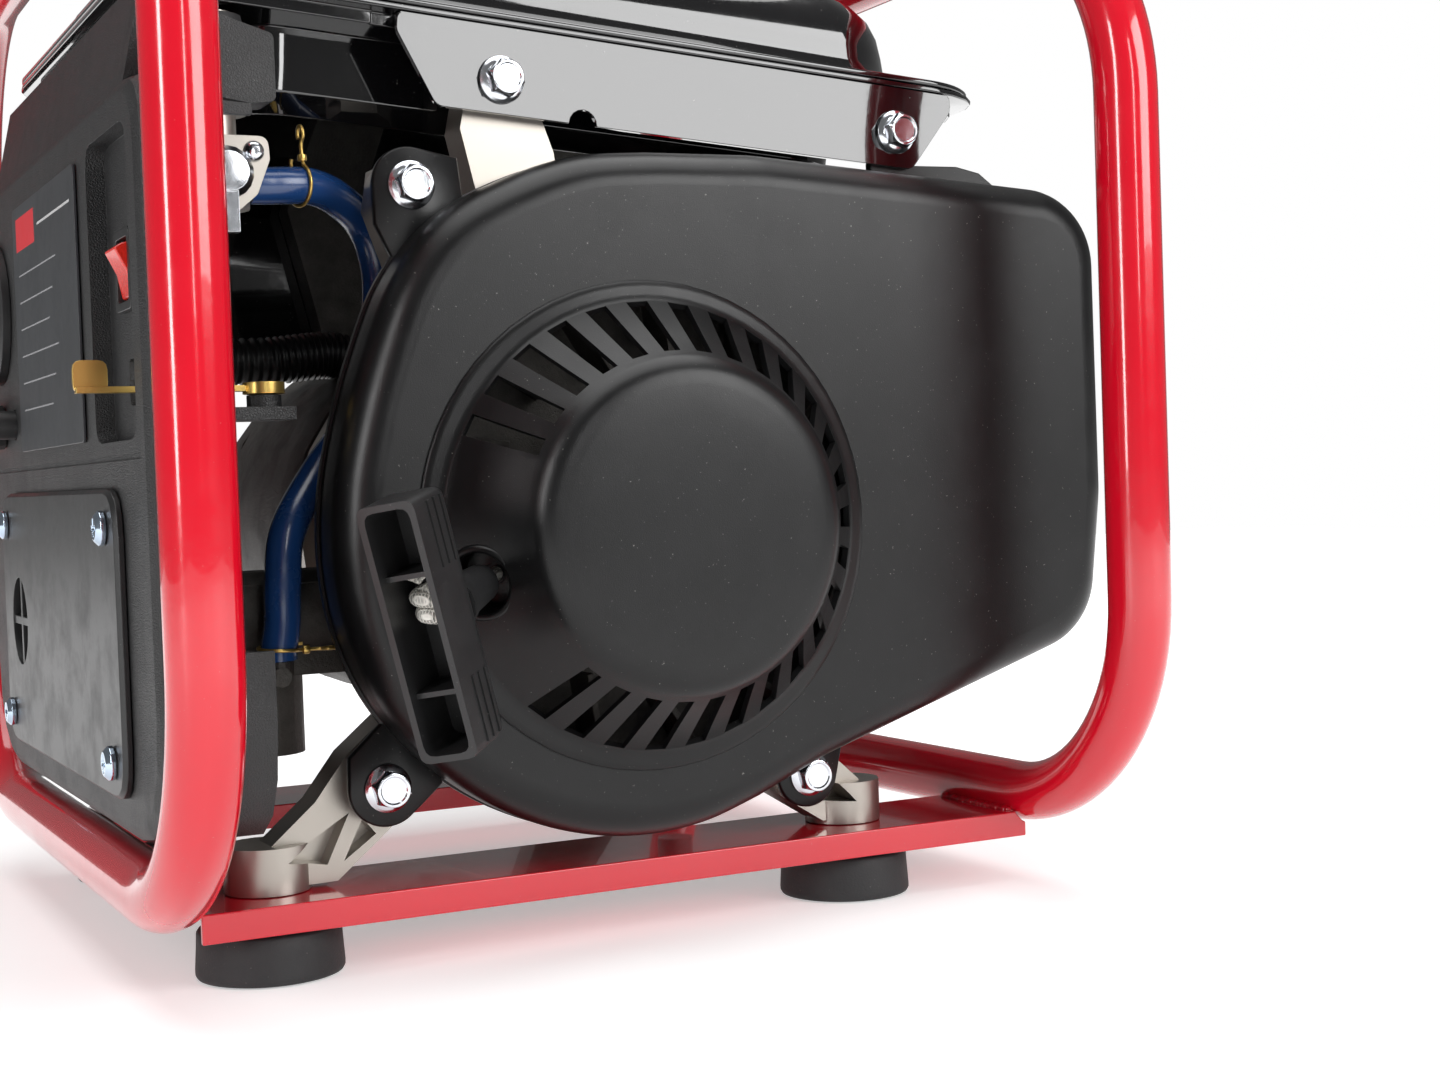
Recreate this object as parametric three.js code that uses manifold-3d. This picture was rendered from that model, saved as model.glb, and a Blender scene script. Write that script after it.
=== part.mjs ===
// Open-frame portable generator: recoil-start engine, alternator, tank and control panel
// between two tubular hoops. Millimetres, +Z up, +X the recoil-starter side, -Y the panel.
import * as THREE from 'three';
import { mergeVertices } from 'three/addons/utils/BufferGeometryUtils.js';
import Module from 'manifold-3d';

const wasm = await Module();
wasm.setup();

// ---- driving dimensions ----
const GAP = 0.3;                                   // clearance between neighbouring pieces
const HOOP = { x: 172.4, y: 145.8, low: 28.9, high: 322.2, tube: 10, bend: 68 };
const RAIL = { inner: 69, outer: 115, top: 23.8, sheet: 2, lip: 8.5, reach: 141 };
const FOOT = { x: 91, ys: [-111, 83.5], r: 21.5, neck: 19.3 };
const AXIS = { y: -2.6, z: 125.7 };                // crankshaft line, along X
const COVER = { back: 104, face: 131.5, wall: 2, cone: 72.6, crown: 164.3, slots: 25 };
const GUIDE = new THREE.Vector3(141, -60, 112.5);  // mouth of the rope guide
const PULL = new THREE.Vector3(0.7, -0.685, -0.2).normalize();
const GRIP = { length: 70, width: 16.8, depth: 20.5, wall: 1.8, out: 46 };
const TANK = { tilt: -4.31, seam: 275.9, front: -142, rear: 146, half: 104 };
const PANEL = { half: 138.5, low: 43, face: -150, back: -119, wall: 2.5 };

// ---- materials ----
const paintOf = (color, roughness, metalness) =>
  new THREE.MeshStandardMaterial({ color, roughness, metalness });
const MAT = {
  red: paintOf(0xc4142a, 0.25, 0), gloss: paintOf(0x0b0b0c, 0.12, 0),
  satin: paintOf(0x161617, 0.4, 0), grain: paintOf(0x202122, 0.65, 0),
  rubber: paintOf(0x1c1c1d, 0.85, 0), alloy: paintOf(0xa39d93, 0.45, 0.9),
  zinc: paintOf(0xc9ccd0, 0.25, 1), steel: paintOf(0x77787a, 0.45, 0.9),
  brass: paintOf(0xc9a24a, 0.3, 1), switchRed: paintOf(0xe02a1c, 0.35, 0),
  hose: paintOf(0x1f5fa0, 0.3, 0), rope: paintOf(0xd8d6cf, 0.9, 0),
  white: paintOf(0xe9e7e0, 0.3, 0), label: paintOf(0x2b2c2e, 0.5, 0),
};

// ---- making geometry ----
const root = new THREE.Group();
root.name = 'portable_generator';
const tank = new THREE.Group();                    // tank, seam and brackets lie tilted together
tank.position.z = TANK.seam;
tank.rotation.x = THREE.MathUtils.degToRad(TANK.tilt);
root.add(tank);

function add(name, geometry, material, parent = root) {
  const mesh = new THREE.Mesh(geometry, material);
  mesh.name = name;
  parent.add(mesh);
  return mesh;
}

// Booleans: a geometry to a manifold solid and back.
function toSolid(geometry) {
  const bare = geometry.clone();
  bare.deleteAttribute('normal');
  bare.deleteAttribute('uv');
  const g = mergeVertices(bare, 1e-4);
  return new wasm.Manifold(new wasm.Mesh({
    numProp: 3,
    vertProperties: new Float32Array(g.attributes.position.array),
    triVerts: new Uint32Array(g.index.array),
  }));
}
function toGeometry(solid) {
  const m = solid.getMesh();
  const g = new THREE.BufferGeometry();
  g.setAttribute('position', new THREE.BufferAttribute(new Float32Array(m.vertProperties), 3));
  g.setIndex(new THREE.BufferAttribute(new Uint32Array(m.triVerts), 1));
  const flat = g.toNonIndexed();
  flat.computeVertexNormals();
  return flat;
}
const join = (...parts) => toGeometry(parts.map(toSolid).reduce((a, b) => a.add(b)));
const cut = (body, ...tools) =>
  toGeometry(tools.map(toSolid).reduce((a, b) => a.subtract(b), toSolid(body)));

// Right-handed places for a flat outline (u, v) and its thickness direction w.
const ALONG = {
  X: (u, v, w) => [w, u, v],
  Y: (u, v, w) => [u, -w, v],
  Z: (u, v, w) => [u, v, w],
};

// A closed solid through a stack of outlines with equal point counts, capped at both ends.
function stack(levels, place) {
  const n = levels[0].loop.length;
  const at = levels.flatMap(({ loop, w }) => loop.map((p) => place(p.x, p.y, w)));
  const index = [];
  for (let k = 0; k + 1 < levels.length; k++)
    for (let i = 0; i < n; i++) {
      const a = k * n + i, b = k * n + (i + 1) % n;
      index.push(a, b, b + n, a, b + n, a + n);
    }
  const last = (levels.length - 1) * n;
  for (const [a, b, c] of THREE.ShapeUtils.triangulateShape(levels[0].loop, []))
    index.push(a, c, b);
  for (const [a, b, c] of THREE.ShapeUtils.triangulateShape(levels.at(-1).loop, []))
    index.push(last + a, last + b, last + c);
  const g = new THREE.BufferGeometry();
  g.setAttribute('position', new THREE.Float32BufferAttribute(at.flat(), 3));
  g.setIndex(index);
  const flat = g.toNonIndexed();
  flat.computeVertexNormals();
  return flat;
}

// An outline from corner points, each corner rounded by its radius.
function outline(corners, radius = 0, steps = 4) {
  const loop = [];
  corners.forEach(([x, y, r = radius], i) => {
    const p = new THREE.Vector2(x, y);
    if (!r) return loop.push(p);
    const [a, b] = [corners.at(i - 1), corners[(i + 1) % corners.length]]
      .map((q) => new THREE.Vector2(q[0], q[1]).sub(p));
    const half = Math.abs(Math.atan2(a.cross(b), a.dot(b))) / 2;
    const reach = Math.min(r / Math.tan(half), 0.49 * a.length(), 0.49 * b.length());
    const from = p.clone().addScaledVector(a.normalize(), reach);
    const to = p.clone().addScaledVector(b.normalize(), reach);
    for (let k = 0; k <= steps; k++) {
      const t = k / steps;
      const bow = new THREE.QuadraticBezierCurve(from, p, to).getPoint(t);
      loop.push(bow);
    }
  });
  return loop;
}
const disc = (r, segments = 24, u = 0, v = 0) =>
  Array.from({ length: segments }, (_, i) => {
    const a = (i / segments) * 2 * Math.PI;
    return new THREE.Vector2(u + r * Math.cos(a), v + r * Math.sin(a));
  });
const rect = (u0, u1, v0, v1) => [[u0, v0], [u1, v0], [u1, v1], [u0, v1]];

// Each point moved towards the inside of its loop.
function inset(loop, depth) {
  const n = loop.length;
  return loop.map((p, i) => {
    const along = loop[(i + 1) % n].clone().sub(loop.at(i - 1)).normalize();
    return new THREE.Vector2(p.x - along.y * depth, p.y + along.x * depth);
  });
}

// Slabs between two planes; the Y slab is given from its low to its high Y.
const slabX = (loop, x0, x1) => stack([{ loop, w: x0 }, { loop, w: x1 }], ALONG.X);
const slabY = (loop, y0, y1) => stack([{ loop, w: -y1 }, { loop, w: -y0 }], ALONG.Y);
const slabZ = (loop, z0, z1) => stack([{ loop, w: z0 }, { loop, w: z1 }], ALONG.Z);
const block = (x0, x1, y0, y1, z0, z1) => slabZ(outline(rect(x0, x1, y0, y1)), z0, z1);

// A turned solid: profile of [radius, height] pairs that starts and ends on the axis
// or closes on itself, heights rising on its outer side.
function turned(profile, segments = 24) {
  const points = profile.map(([r, h]) => new THREE.Vector2(r, h));
  return new THREE.LatheGeometry(points, segments);
}
// LatheGeometry turns about +Y; these lay its axis along X, Z, or any direction from a point.
function aim(geometry, direction, from) {
  const turn = new THREE.Quaternion().setFromUnitVectors(new THREE.Vector3(0, 1, 0), direction);
  return geometry.applyQuaternion(turn).translate(from.x, from.y, from.z);
}
const X = new THREE.Vector3(1, 0, 0), Y = new THREE.Vector3(0, 1, 0), Z = new THREE.Vector3(0, 0, 1);
const shaftLine = new THREE.Vector3(0, AXIS.y, AXIS.z);
const onShaft = (profile, segments = 24) => aim(turned(profile, segments), X, shaftLine);
const rod = (r, from, direction, length, segments = 16) =>
  aim(turned([[0, 0], [r, 0], [r, length], [0, length]], segments), direction, from);

// A round bar along a curve: closed into a loop, or capped at both ends.
function bar(points, r, sides, { closed = false, smooth = 0 } = {}) {
  let path = points;
  if (smooth) path = new THREE.CatmullRomCurve3(points, false, 'centripetal').getPoints(smooth);
  const n = path.length;
  const frames = [];
  let normal = null;
  for (let i = 0; i < n; i++) {
    const before = path[closed ? (i + n - 1) % n : Math.max(i - 1, 0)];
    const after = path[closed ? (i + 1) % n : Math.min(i + 1, n - 1)];
    const t = after.clone().sub(before).normalize();
    const seed = normal ?? (Math.abs(t.y) < 0.9 ? Y : X);
    normal = seed.clone().addScaledVector(t, -seed.dot(t)).normalize();
    frames.push([path[i], normal, t.clone().cross(normal)]);
  }
  const at = [], index = [];
  for (const [p, u, v] of frames)
    for (let k = 0; k < sides; k++) {
      const a = (k / sides) * 2 * Math.PI;
      const q = p.clone().addScaledVector(u, r * Math.cos(a)).addScaledVector(v, r * Math.sin(a));
      at.push(q.x, q.y, q.z);
    }
  for (let i = 0; i < (closed ? n : n - 1); i++)
    for (let k = 0; k < sides; k++) {
      const a = i * sides + k, b = i * sides + (k + 1) % sides;
      const c = ((i + 1) % n) * sides + (k + 1) % sides, d = ((i + 1) % n) * sides + k;
      index.push(a, b, c, a, c, d);
    }
  if (!closed)
    for (let k = 1; k + 1 < sides; k++) {
      const e = (n - 1) * sides;
      index.push(0, k + 1, k, e, e + k, e + k + 1);
    }
  const g = new THREE.BufferGeometry();
  g.setAttribute('position', new THREE.Float32BufferAttribute(at, 3));
  g.setIndex(index);
  const flat = g.toNonIndexed();
  flat.computeVertexNormals();
  return flat;
}

// A flange bolt with a hexagon head, its seat at `from`, head along `direction`.
function flangeBolt(from, direction) {
  const flange = turned([[0, 0], [7.2, 0], [7.2, 1.1], [5.6, 1.9], [0, 1.9]], 16);
  const head = turned([[0, 1], [5.7, 1], [5.7, 5.6], [4.6, 6.4], [0, 6.4]], 6);
  return aim(join(flange, head), direction, from);
}
// A cross-recess pan screw with its seat at `from`.
function panScrew(from, direction, r = 5) {
  const head = turned([[0, 0], [r, 0], [r, 1.4], [r * 0.7, 2.8], [0, 2.8]], 14);
  const slot = (a) => new THREE.BoxGeometry(1.3, 2.4, 5.2).rotateY(a).translate(0, 2.9, 0);
  return aim(cut(head, join(slot(0), slot(Math.PI / 2))), direction, from);
}

// ---- frame ----
function hoopPath(y) {
  const { x, low, high, bend } = HOOP;
  const corners = [[-x, low], [x, low], [x, high], [-x, high]];
  const centres = [[bend - x, low + bend], [x - bend, low + bend],
    [x - bend, high - bend], [bend - x, high - bend]];
  return corners.flatMap((_, i) => Array.from({ length: 8 }, (_, k) => {
    const a = Math.PI + (i + k / 7) * Math.PI / 2;
    return new THREE.Vector3(centres[i][0] + bend * Math.cos(a), y,
      centres[i][1] + bend * Math.sin(a));
  }));
}
function makeHoops() {
  add('front_hoop', bar(hoopPath(-HOOP.y), HOOP.tube, 14, { closed: true }), MAT.red);
  add('rear_hoop', bar(hoopPath(HOOP.y), HOOP.tube, 14, { closed: true }), MAT.red);
}
function makeRail(name, side) {
  const { inner, outer, top, sheet, lip, reach } = RAIL;
  const section = outline([[inner, top - lip], [inner + sheet, top - lip],
    [inner + sheet, top - sheet], [outer - sheet, top - sheet], [outer - sheet, top - lip],
    [outer, top - lip], [outer, top], [inner, top]]);
  const channel = slabY(section, -reach + 5, reach);
  const saddle = (y) => rod(HOOP.tube + GAP, new THREE.Vector3(0, y, HOOP.low), X, 200, 20);
  const g = cut(channel, saddle(-HOOP.y), saddle(HOOP.y),
    block(60, 125, HOOP.y - 4, 200, 0, 60), block(60, 125, -200, 4 - HOOP.y, 0, 60));
  add(name, side > 0 ? g : g.rotateZ(Math.PI).translate(0, 0, 0), MAT.red);
}
function makeFeet() {
  const top = RAIL.top - RAIL.sheet - GAP;
  const profile = [[0, 0], [FOOT.r, 0], [FOOT.r - 0.6, 14], [FOOT.neck, 14.4],
    [FOOT.neck, top], [0, top]];
  for (const [side, x] of [['right', FOOT.x], ['left', -FOOT.x]])
    FOOT.ys.forEach((y, i) => add(`rubber_foot_${side}_${i ? 'rear' : 'front'}`,
      aim(turned(profile, 24), Z, new THREE.Vector3(x, y, 0)), MAT.rubber));
}

// ---- engine ----
// A webbed mounting leg from the casting down to a boss above a rubber foot.
function leg(bossY, knee, hip, x0, x1, bossX) {
  const bossFloor = RAIL.top + GAP;
  const boss = rod(12.5, new THREE.Vector3(bossX, bossY, bossFloor), Z, 14, 20);
  const s = Math.sign(bossY);
  const web = outline([[bossY + 6 * s, bossFloor + 0.5], [bossY - 30 * s, bossFloor + 1],
    [knee[0] - 14 * s, knee[1] - 14], hip[0], hip[1], [knee[0], knee[1] + 12],
    [bossY + 6 * s, 40]]);
  if (s > 0) web.reverse();
  const plate = slabX(s < 0 ? web.reverse() : web, x0, x1);
  return [boss, plate];
}
const orient = (loop) => (THREE.ShapeUtils.area(loop) < 0 ? loop.slice().reverse() : loop);
const plateX = (points, x0, x1, r = 0) => slabX(orient(outline(points, r)), x0, x1);

function makeCrankcase() {
  const { y, z } = AXIS;
  const barrel = onShaft([[9.6, -22], [64, -22], [64, -15], [50, -14], [50, 84], [64, 85], [64, 98],
    [9.6, 98], [9.6, 90], [42, 90], [42, -14], [9.6, -14], [9.6, -22]], 28);
  const chamber = onShaft([[0, -14], [42, -14], [42, 90], [0, 90]], 24);
  const base = slabY(outline(rect(6, 78, z - 36, z + 36), 6), 30, 49.6);
  const bore = rod(26, new THREE.Vector3(42, 20, z), Y, 40, 24);
  const intake = slabY(outline(rect(46, 78, z - 36, z - 6), 5), -64, -40);
  const bossFloor = RAIL.top + GAP;
  const boss = (by) => rod(12.5, new THREE.Vector3(FOOT.x, by, bossFloor), Z, 13.5, 20);
  const frontLeg = plateX([[-116, 25], [-92, 25.5], [-72, 42], [-40, 72], [-52, 92], [-88, 62],
    [-98, 49], [-112, 37]], 85, 98);
  const rearLeg = plateX([[89, 25], [72, 25.5], [52, 38], [28, 72], [44, 88], [66, 56], [86, 38]],
    85, 98);
  const topEar = plateX([[-8, 178], [-30, 178], [-46, 246], [-42, 264], [-32, 269], [-24, 262],
    [-16, 240]], 86, 99.5);
  const earBoss = rod(9, new THREE.Vector3(92, -34, 260), X, 10.3, 18);
  const sideArm = plateX([[-36, 170], [-50, 158], [-73, 222], [-71, 234], [-60, 236], [-54, 228]],
    85, 98);
  const post = (py, pz) => rod(8.5, new THREE.Vector3(90, py, pz), X, 13.6, 18);
  const pocket = (points) => plateX(points, 91, 110);
  const web = cut(join(barrel, base, intake, boss(FOOT.ys[0]), boss(FOOT.ys[1]), frontLeg, rearLeg,
    topEar, earBoss, sideArm, post(-79, 52.4), post(-64.9, 227.4), post(62, 43)),
    bore, chamber, pocket([[-108, 33], [-95, 30.5], [-88, 45]]), pocket([[-90, 31], [-80, 38], [-84, 43]]),
    pocket([[-84, 58], [-72, 50], [-56, 70], [-62, 78]]),
    pocket([[82, 31.5], [72, 32], [70, 45]]), pocket([[62, 55], [52, 52], [42, 70], [46, 76]]));
  add('crankcase', web, MAT.alloy);
}

function makeCylinder() {
  const at = new THREE.Vector3(42, 0, AXIS.z);
  const fins = [[27, 50], [32, 50]];
  for (let k = 0; k < 6; k++) {
    const h = 54 + k * 8;
    fins.push([32, h], [41.5, h + 0.4], [41.5, h + 2.2], [32, h + 2.6]);
  }
  fins.push([32, 102], [27, 102], [27, 50]);
  const barrel = aim(turned(fins, 20), Y, at);
  const port = block(-6, 14, 68, 92, AXIS.z - 13, AXIS.z + 13);
  add('cylinder', join(barrel, port), MAT.alloy);
  const head = [[0, 102 + GAP], [38, 102 + GAP]];
  for (let k = 0; k < 3; k++) {
    const h = 106 + k * 6.5, r = 42 - k * 3;
    head.push([30, h], [r, h], [r, h + 2.2], [28, h + 2.6]);
  }
  head.push([16, 124], [9, 124], [9, 118], [0, 118]);
  add('cylinder_head', aim(turned(head, 20), Y, at), MAT.alloy);
  add('spark_plug', aim(turned([[0, 118 + GAP], [8.6, 118 + GAP], [8.6, 127], [5, 128], [4.6, 139],
    [2.4, 140], [2.4, 144], [0, 144]], 12), Y, at), MAT.white);
  const boot = turned([[0, 146.5], [5.4, 146.5], [5.4, 129.5], [9, 129.5], [9.6, 150], [7, 156],
    [0, 156]], 18);
  add('plug_cap', aim(boot.clone(), Y, at), MAT.rubber);
}

function makeCowl() {
  const { z } = AXIS;
  const shape = orient(outline([[58, z + 62], [148, z + 62], [148, z - 60], [60, z - 60],
    [60, z - 58.4], [146.4, z - 58.4], [146.4, z + 60.4], [58, z + 60.4]]));
  const shell = slabX(shape, 3, COVER.back - GAP);
  const hole = rod(15, new THREE.Vector3(42, 140, z), Y, 20, 20);
  const portGap = block(-2, 12, 60, 100, z - 20, z + 20);
  const tab = block(98.4, 102, 96, 113, z + 61, 259);
  const backPlate = plateX([[58, 186.9], [58, 236], [97, 236], [99, 240.4], [130, 241], [139, 239.2],
    [145, 235], [160, 232.8], [164.6, 229], [164.6, 90],
    [147.2, 84.5], [147.2, 186.9]], 98.4, 102);
  const airOutlet = block(66, 106, 57, 149, 60, 81);
  add('cylinder_cowl', join(cut(shell, hole, portGap, airOutlet), tab, backPlate), MAT.satin);
}

function makeExhaust() {
  const { z } = AXIS;
  const body = (d) => orient(outline(rect(88 + d, 148 - d, z - 42 + d, z + 44 - d), 12 - d, 3));
  const can = stack([{ loop: body(4), w: -128 }, { loop: body(0), w: -124 },
    { loop: body(0), w: -16 }, { loop: body(4), w: -12 }], ALONG.X);
  const neck = rod(12, new THREE.Vector3(-20, 80, z), X, 13.7, 16);
  const elbow = block(-34, -17, 74, 100, z - 14, z + 14);
  const outlet = rod(7.5, new THREE.Vector3(-112, 120, z - 38), Z.clone().negate(), 26, 14);
  add('muffler', join(can, neck, elbow, outlet), MAT.steel);
  const plate = slabY(outline(rect(-134, -6, z - 46, z + 50), 10, 3), 153, 154.6);
  const slots = Array.from({ length: 6 }, (_, k) =>
    slabY(outline(rect(-118, -22, z - 32 + k * 13, z - 26 + k * 13), 2.8, 2), 150, 158));
  const feet = [[-126, -112], [-28, -14]].map(([a, b]) => block(a, b, 148 + GAP, 153.5, z - 6, z + 6));
  add('muffler_guard', join(cut(plate, ...slots), ...feet), MAT.satin);
}

// ---- recoil starter ----
// The pressed cover's outline as radii from the crank line, then the straight air duct.
function coverLoop() {
  const volute = [[88, 112], [100, 111.5], [112, 110.5], [124, 110], [136, 106], [148, 100.5],
    [160, 97.5], [172, 96.8], [184, 97], [196, 97.5], [208, 97.5], [220, 96.8], [232, 95.8],
    [244, 95], [256, 94.5], [268, 94], [280, 93.5], [292, 93]];
  const round = new THREE.SplineCurve(volute.map(([a, r]) => {
    const t = THREE.MathUtils.degToRad(a);
    return new THREE.Vector2(r * Math.cos(t), 126 + r * Math.sin(t));
  })).getPoints(26);
  const duct = outline([[60, 50.5], [163.5, 84, 26], [169, 130], [168.5, 230, 26],
    [40, 238.5]]);
  return orient([...round, ...duct]);
}
const crown = [[0, COVER.face - 8], [COVER.cone, COVER.face - 8], [COVER.cone, COVER.face],
  [70.5, 133.4], [66.5, 134.6], [49.6, 157.4], [47, 161.2], [42, 163.4], [0, COVER.crown]];
const innerCrown = [[0, COVER.face - 10], [70, COVER.face - 10], [70, 131.2], [64.8, 133],
  [48, 156.2], [44, 160.8], [0, 162.2]];
function makeCover() {
  const loop = coverLoop();
  const formed = (levels) => stack(levels.map(([w, d]) => ({ loop: inset(loop, d), w })), ALONG.X);
  const outer = formed([[COVER.back, 0], [121, 0], [127.4, 2.8], [130.5, 6.2], [COVER.face, 10]]);
  const inner = formed([[COVER.back - 3, 2], [121, 2], [127.6, 6], [COVER.face - 2, 10]]);
  const ear = (y, z, r) => slabX(disc(r, 20, y, z), COVER.back, COVER.back + 3);
  const ears = [ear(-79, 52.4, 11.5), ear(-64.9, 227.4, 11.5), ear(62, 43, 11),
    plateX([[-89, 58], [-74, 42], [-50, 60], [-72, 84]], COVER.back, COVER.back + 3),
    plateX([[-75, 222], [-62, 238.5], [-40, 230], [-70, 196]], COVER.back, COVER.back + 3)];
  const outside = join(outer, onShaft(crown, 32), ...ears);
  const inside = join(inner, onShaft(innerCrown, 32));
  const slots = Array.from({ length: COVER.slots }, (_, k) => new THREE.BoxGeometry(40, 17, 6.2)
    .translate(146, 57.8, 0).rotateX(THREE.MathUtils.degToRad(152 - k * 280 / 24))
    .translate(0, AXIS.y, AXIS.z));
  const mouth = (from, r, to) =>
    rod(r, GUIDE.clone().addScaledVector(PULL, from), PULL, to - from, 22);
  const collar = cut(mouth(-11, 11, 3), mouth(-9, 8.7, 6), mouth(-14, 3.4, 4));
  const shell = join(cut(outside, inside, ...slots, mouth(-9, 9.8, 14)), collar);
  const post = onShaft([[0, 134], [6, 134], [6, 163], [0, 163]], 14);
  add('starter_cover', join(shell, post), MAT.satin);
  for (const [name, y, z, x] of [['cover_bolt_low_front', -79, 52.4, 107.3],
    ['cover_bolt_high_front', -64.9, 227.4, 107.3], ['cover_bolt_low_rear', 62, 43, 107.3]])
    add(name, flangeBolt(new THREE.Vector3(x, y, z), X), MAT.zinc);
}
function makeRecoil() {
  add('starter_reel', onShaft([[6.4, 137], [38, 137], [38, 138.6], [31, 141], [31, 146], [38, 148.4],
    [38, 150], [6.4, 150], [6.4, 137]], 24), MAT.steel);
  const hub = onShaft([[9.3, 100], [22, 100], [82, 102], [82, 104], [30, 106], [30, 128], [26, 128],
    [26, 112], [9.3, 112], [9.3, 100]], 28);
  const blades = Array.from({ length: 14 }, (_, k) => new THREE.BoxGeometry(16, 34, 2.2)
    .rotateX(0.35).translate(111, 62, 0).rotateX(k * Math.PI / 7).translate(0, AXIS.y, AXIS.z));
  add('flywheel_fan', join(hub, ...blades), MAT.alloy);
  add('crankshaft', onShaft([[0, -134], [9, -134], [9, 12], [36, 12], [36, 24], [14, 24], [14, 60],
    [36, 60], [36, 72], [9, 72], [9, 118], [0, 118]], 20), MAT.steel);
}
function makeHandle() {
  const upright = Z.clone().addScaledVector(PULL, -PULL.z).normalize();
  const lean = THREE.MathUtils.degToRad(8);
  const level = upright.clone().cross(PULL);
  const length = upright.clone().multiplyScalar(Math.cos(lean)).addScaledVector(level, -Math.sin(lean));
  const width = length.clone().cross(PULL);
  const place = new THREE.Matrix4().makeBasis(width, length, PULL)
    .setPosition(GUIDE.clone().addScaledVector(PULL, GRIP.out).addScaledVector(length, -2));
  const { length: l, width: w, depth: d, wall } = GRIP;
  const tub = (e, from, to) => ({ loop: outline(rect(-w / 2 + e, w / 2 - e, -l / 2 + e, l / 2 - e),
    3, 3), w: from ?? to });
  const outer = stack([tub(1.6, -d), tub(0.4, -d + 1.6), tub(0, -d + 4), tub(0, 0)], ALONG.Z);
  const inner = stack([tub(wall + 0.4, -d + 2.4), tub(wall, 2)], ALONG.Z);
  const webs = [-18, 14].map((v) => block(-w / 2 + 1, w / 2 - 1, v, v + 1.4, -d + 2, -3.5));
  const neckEnd = 1.5 - GRIP.out;
  const neck = aim(turned([[0, neckEnd], [5.4, neckEnd], [6.4, neckEnd + 14], [9, -d + 1], [0, -d + 1]],
    20), Z, new THREE.Vector3(0, 2, 0));
  const hole = rod(3, new THREE.Vector3(0, 2, -60), Z, 50, 12);
  const ribs = [-1, 1].flatMap((s) => [-24, 24].flatMap((v) => [-16.5, -12.5, -8.5].map((h) =>
    block(s * w / 2 - 0.3, s * w / 2 + 0.5, v - 9, v + 9, h, h + 1.2))));
  const grip = cut(join(cut(outer, inner), neck, ...webs, ...ribs), hole);
  add('starter_handle', grip.applyMatrix4(place), MAT.grain);
  const start = GUIDE.clone().addScaledVector(PULL, -13);
  const knotAt = -d + 2.7;
  const ropeEnd = GRIP.out + knotAt - 0.4;
  add('starter_rope', rod(2.3, start, PULL, ropeEnd + 13, 10), MAT.rope);
  const knot = join(new THREE.SphereGeometry(4.4, 10, 7).translate(0, 3, knotAt + 4.3),
    new THREE.SphereGeometry(3.4, 8, 6).translate(-2.4, 9.5, knotAt + 6));
  add('rope_knot', knot.applyMatrix4(place), MAT.rope);
}

// ---- alternator ----
function makeAlternator() {
  add('alternator_stator', onShaft([[41, -100], [60, -100], [60, -48], [41, -48], [41, -100]], 30),
    MAT.steel);
  add('alternator_rotor', onShaft([[9.3, -104], [30, -104], [39.6, -98], [39.6, -50], [30, -44],
    [9.3, -44], [9.3, -104]], 24), MAT.brass);
  const ring = onShaft([[61, -112], [66, -112], [66, -36], [64.5, -24], [61.6, -22.4], [61, -36],
    [61, -112]], 28);
  const bossFloor = RAIL.top + GAP;
  const boss = (y) => rod(12.5, new THREE.Vector3(-FOOT.x, y, bossFloor), Z, 13.5, 20);
  const legFront = plateX([[-116, 25], [-92, 25.5], [-60, 46], [-46, 76], [-60, 96], [-98, 49],
    [-112, 37]], -98, -84);
  const legRear = plateX([[89, 25], [72, 25.5], [48, 42], [36, 74], [52, 92], [84, 44]], -98, -84);
  const ear = plateX([[-6, 188], [-30, 186], [-45, 246], [-41, 263], [-32, 268], [-24, 262], [-16, 240]],
    -102, -90);
  const rearEar = plateX([[26, 182], [46, 172], [114, 244], [112, 254], [104, 259], [94, 254]], -102, -92);
  const keepOut = onShaft([[0, -113], [61, -113], [61, -20], [0, -20]], 28);
  add('alternator_housing', join(ring, cut(join(legFront, legRear, ear, rearEar), keepOut),
    boss(FOOT.ys[0]), boss(FOOT.ys[1])), MAT.alloy);
  const bell = onShaft([[9.6, -140], [52, -140], [62, -134], [66, -124], [66, -112 - GAP],
    [63, -112 - GAP], [63, -124], [58, -132], [50, -137], [9.6, -137], [9.6, -140]], 24);
  const vents = Array.from({ length: 10 }, (_, k) => new THREE.BoxGeometry(30, 24, 8)
    .translate(-138, 36, 0).rotateX((k + 0.5) * Math.PI / 5).translate(0, AXIS.y, AXIS.z));
  add('alternator_end_cover', cut(bell, ...vents), MAT.alloy);
}

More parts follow.
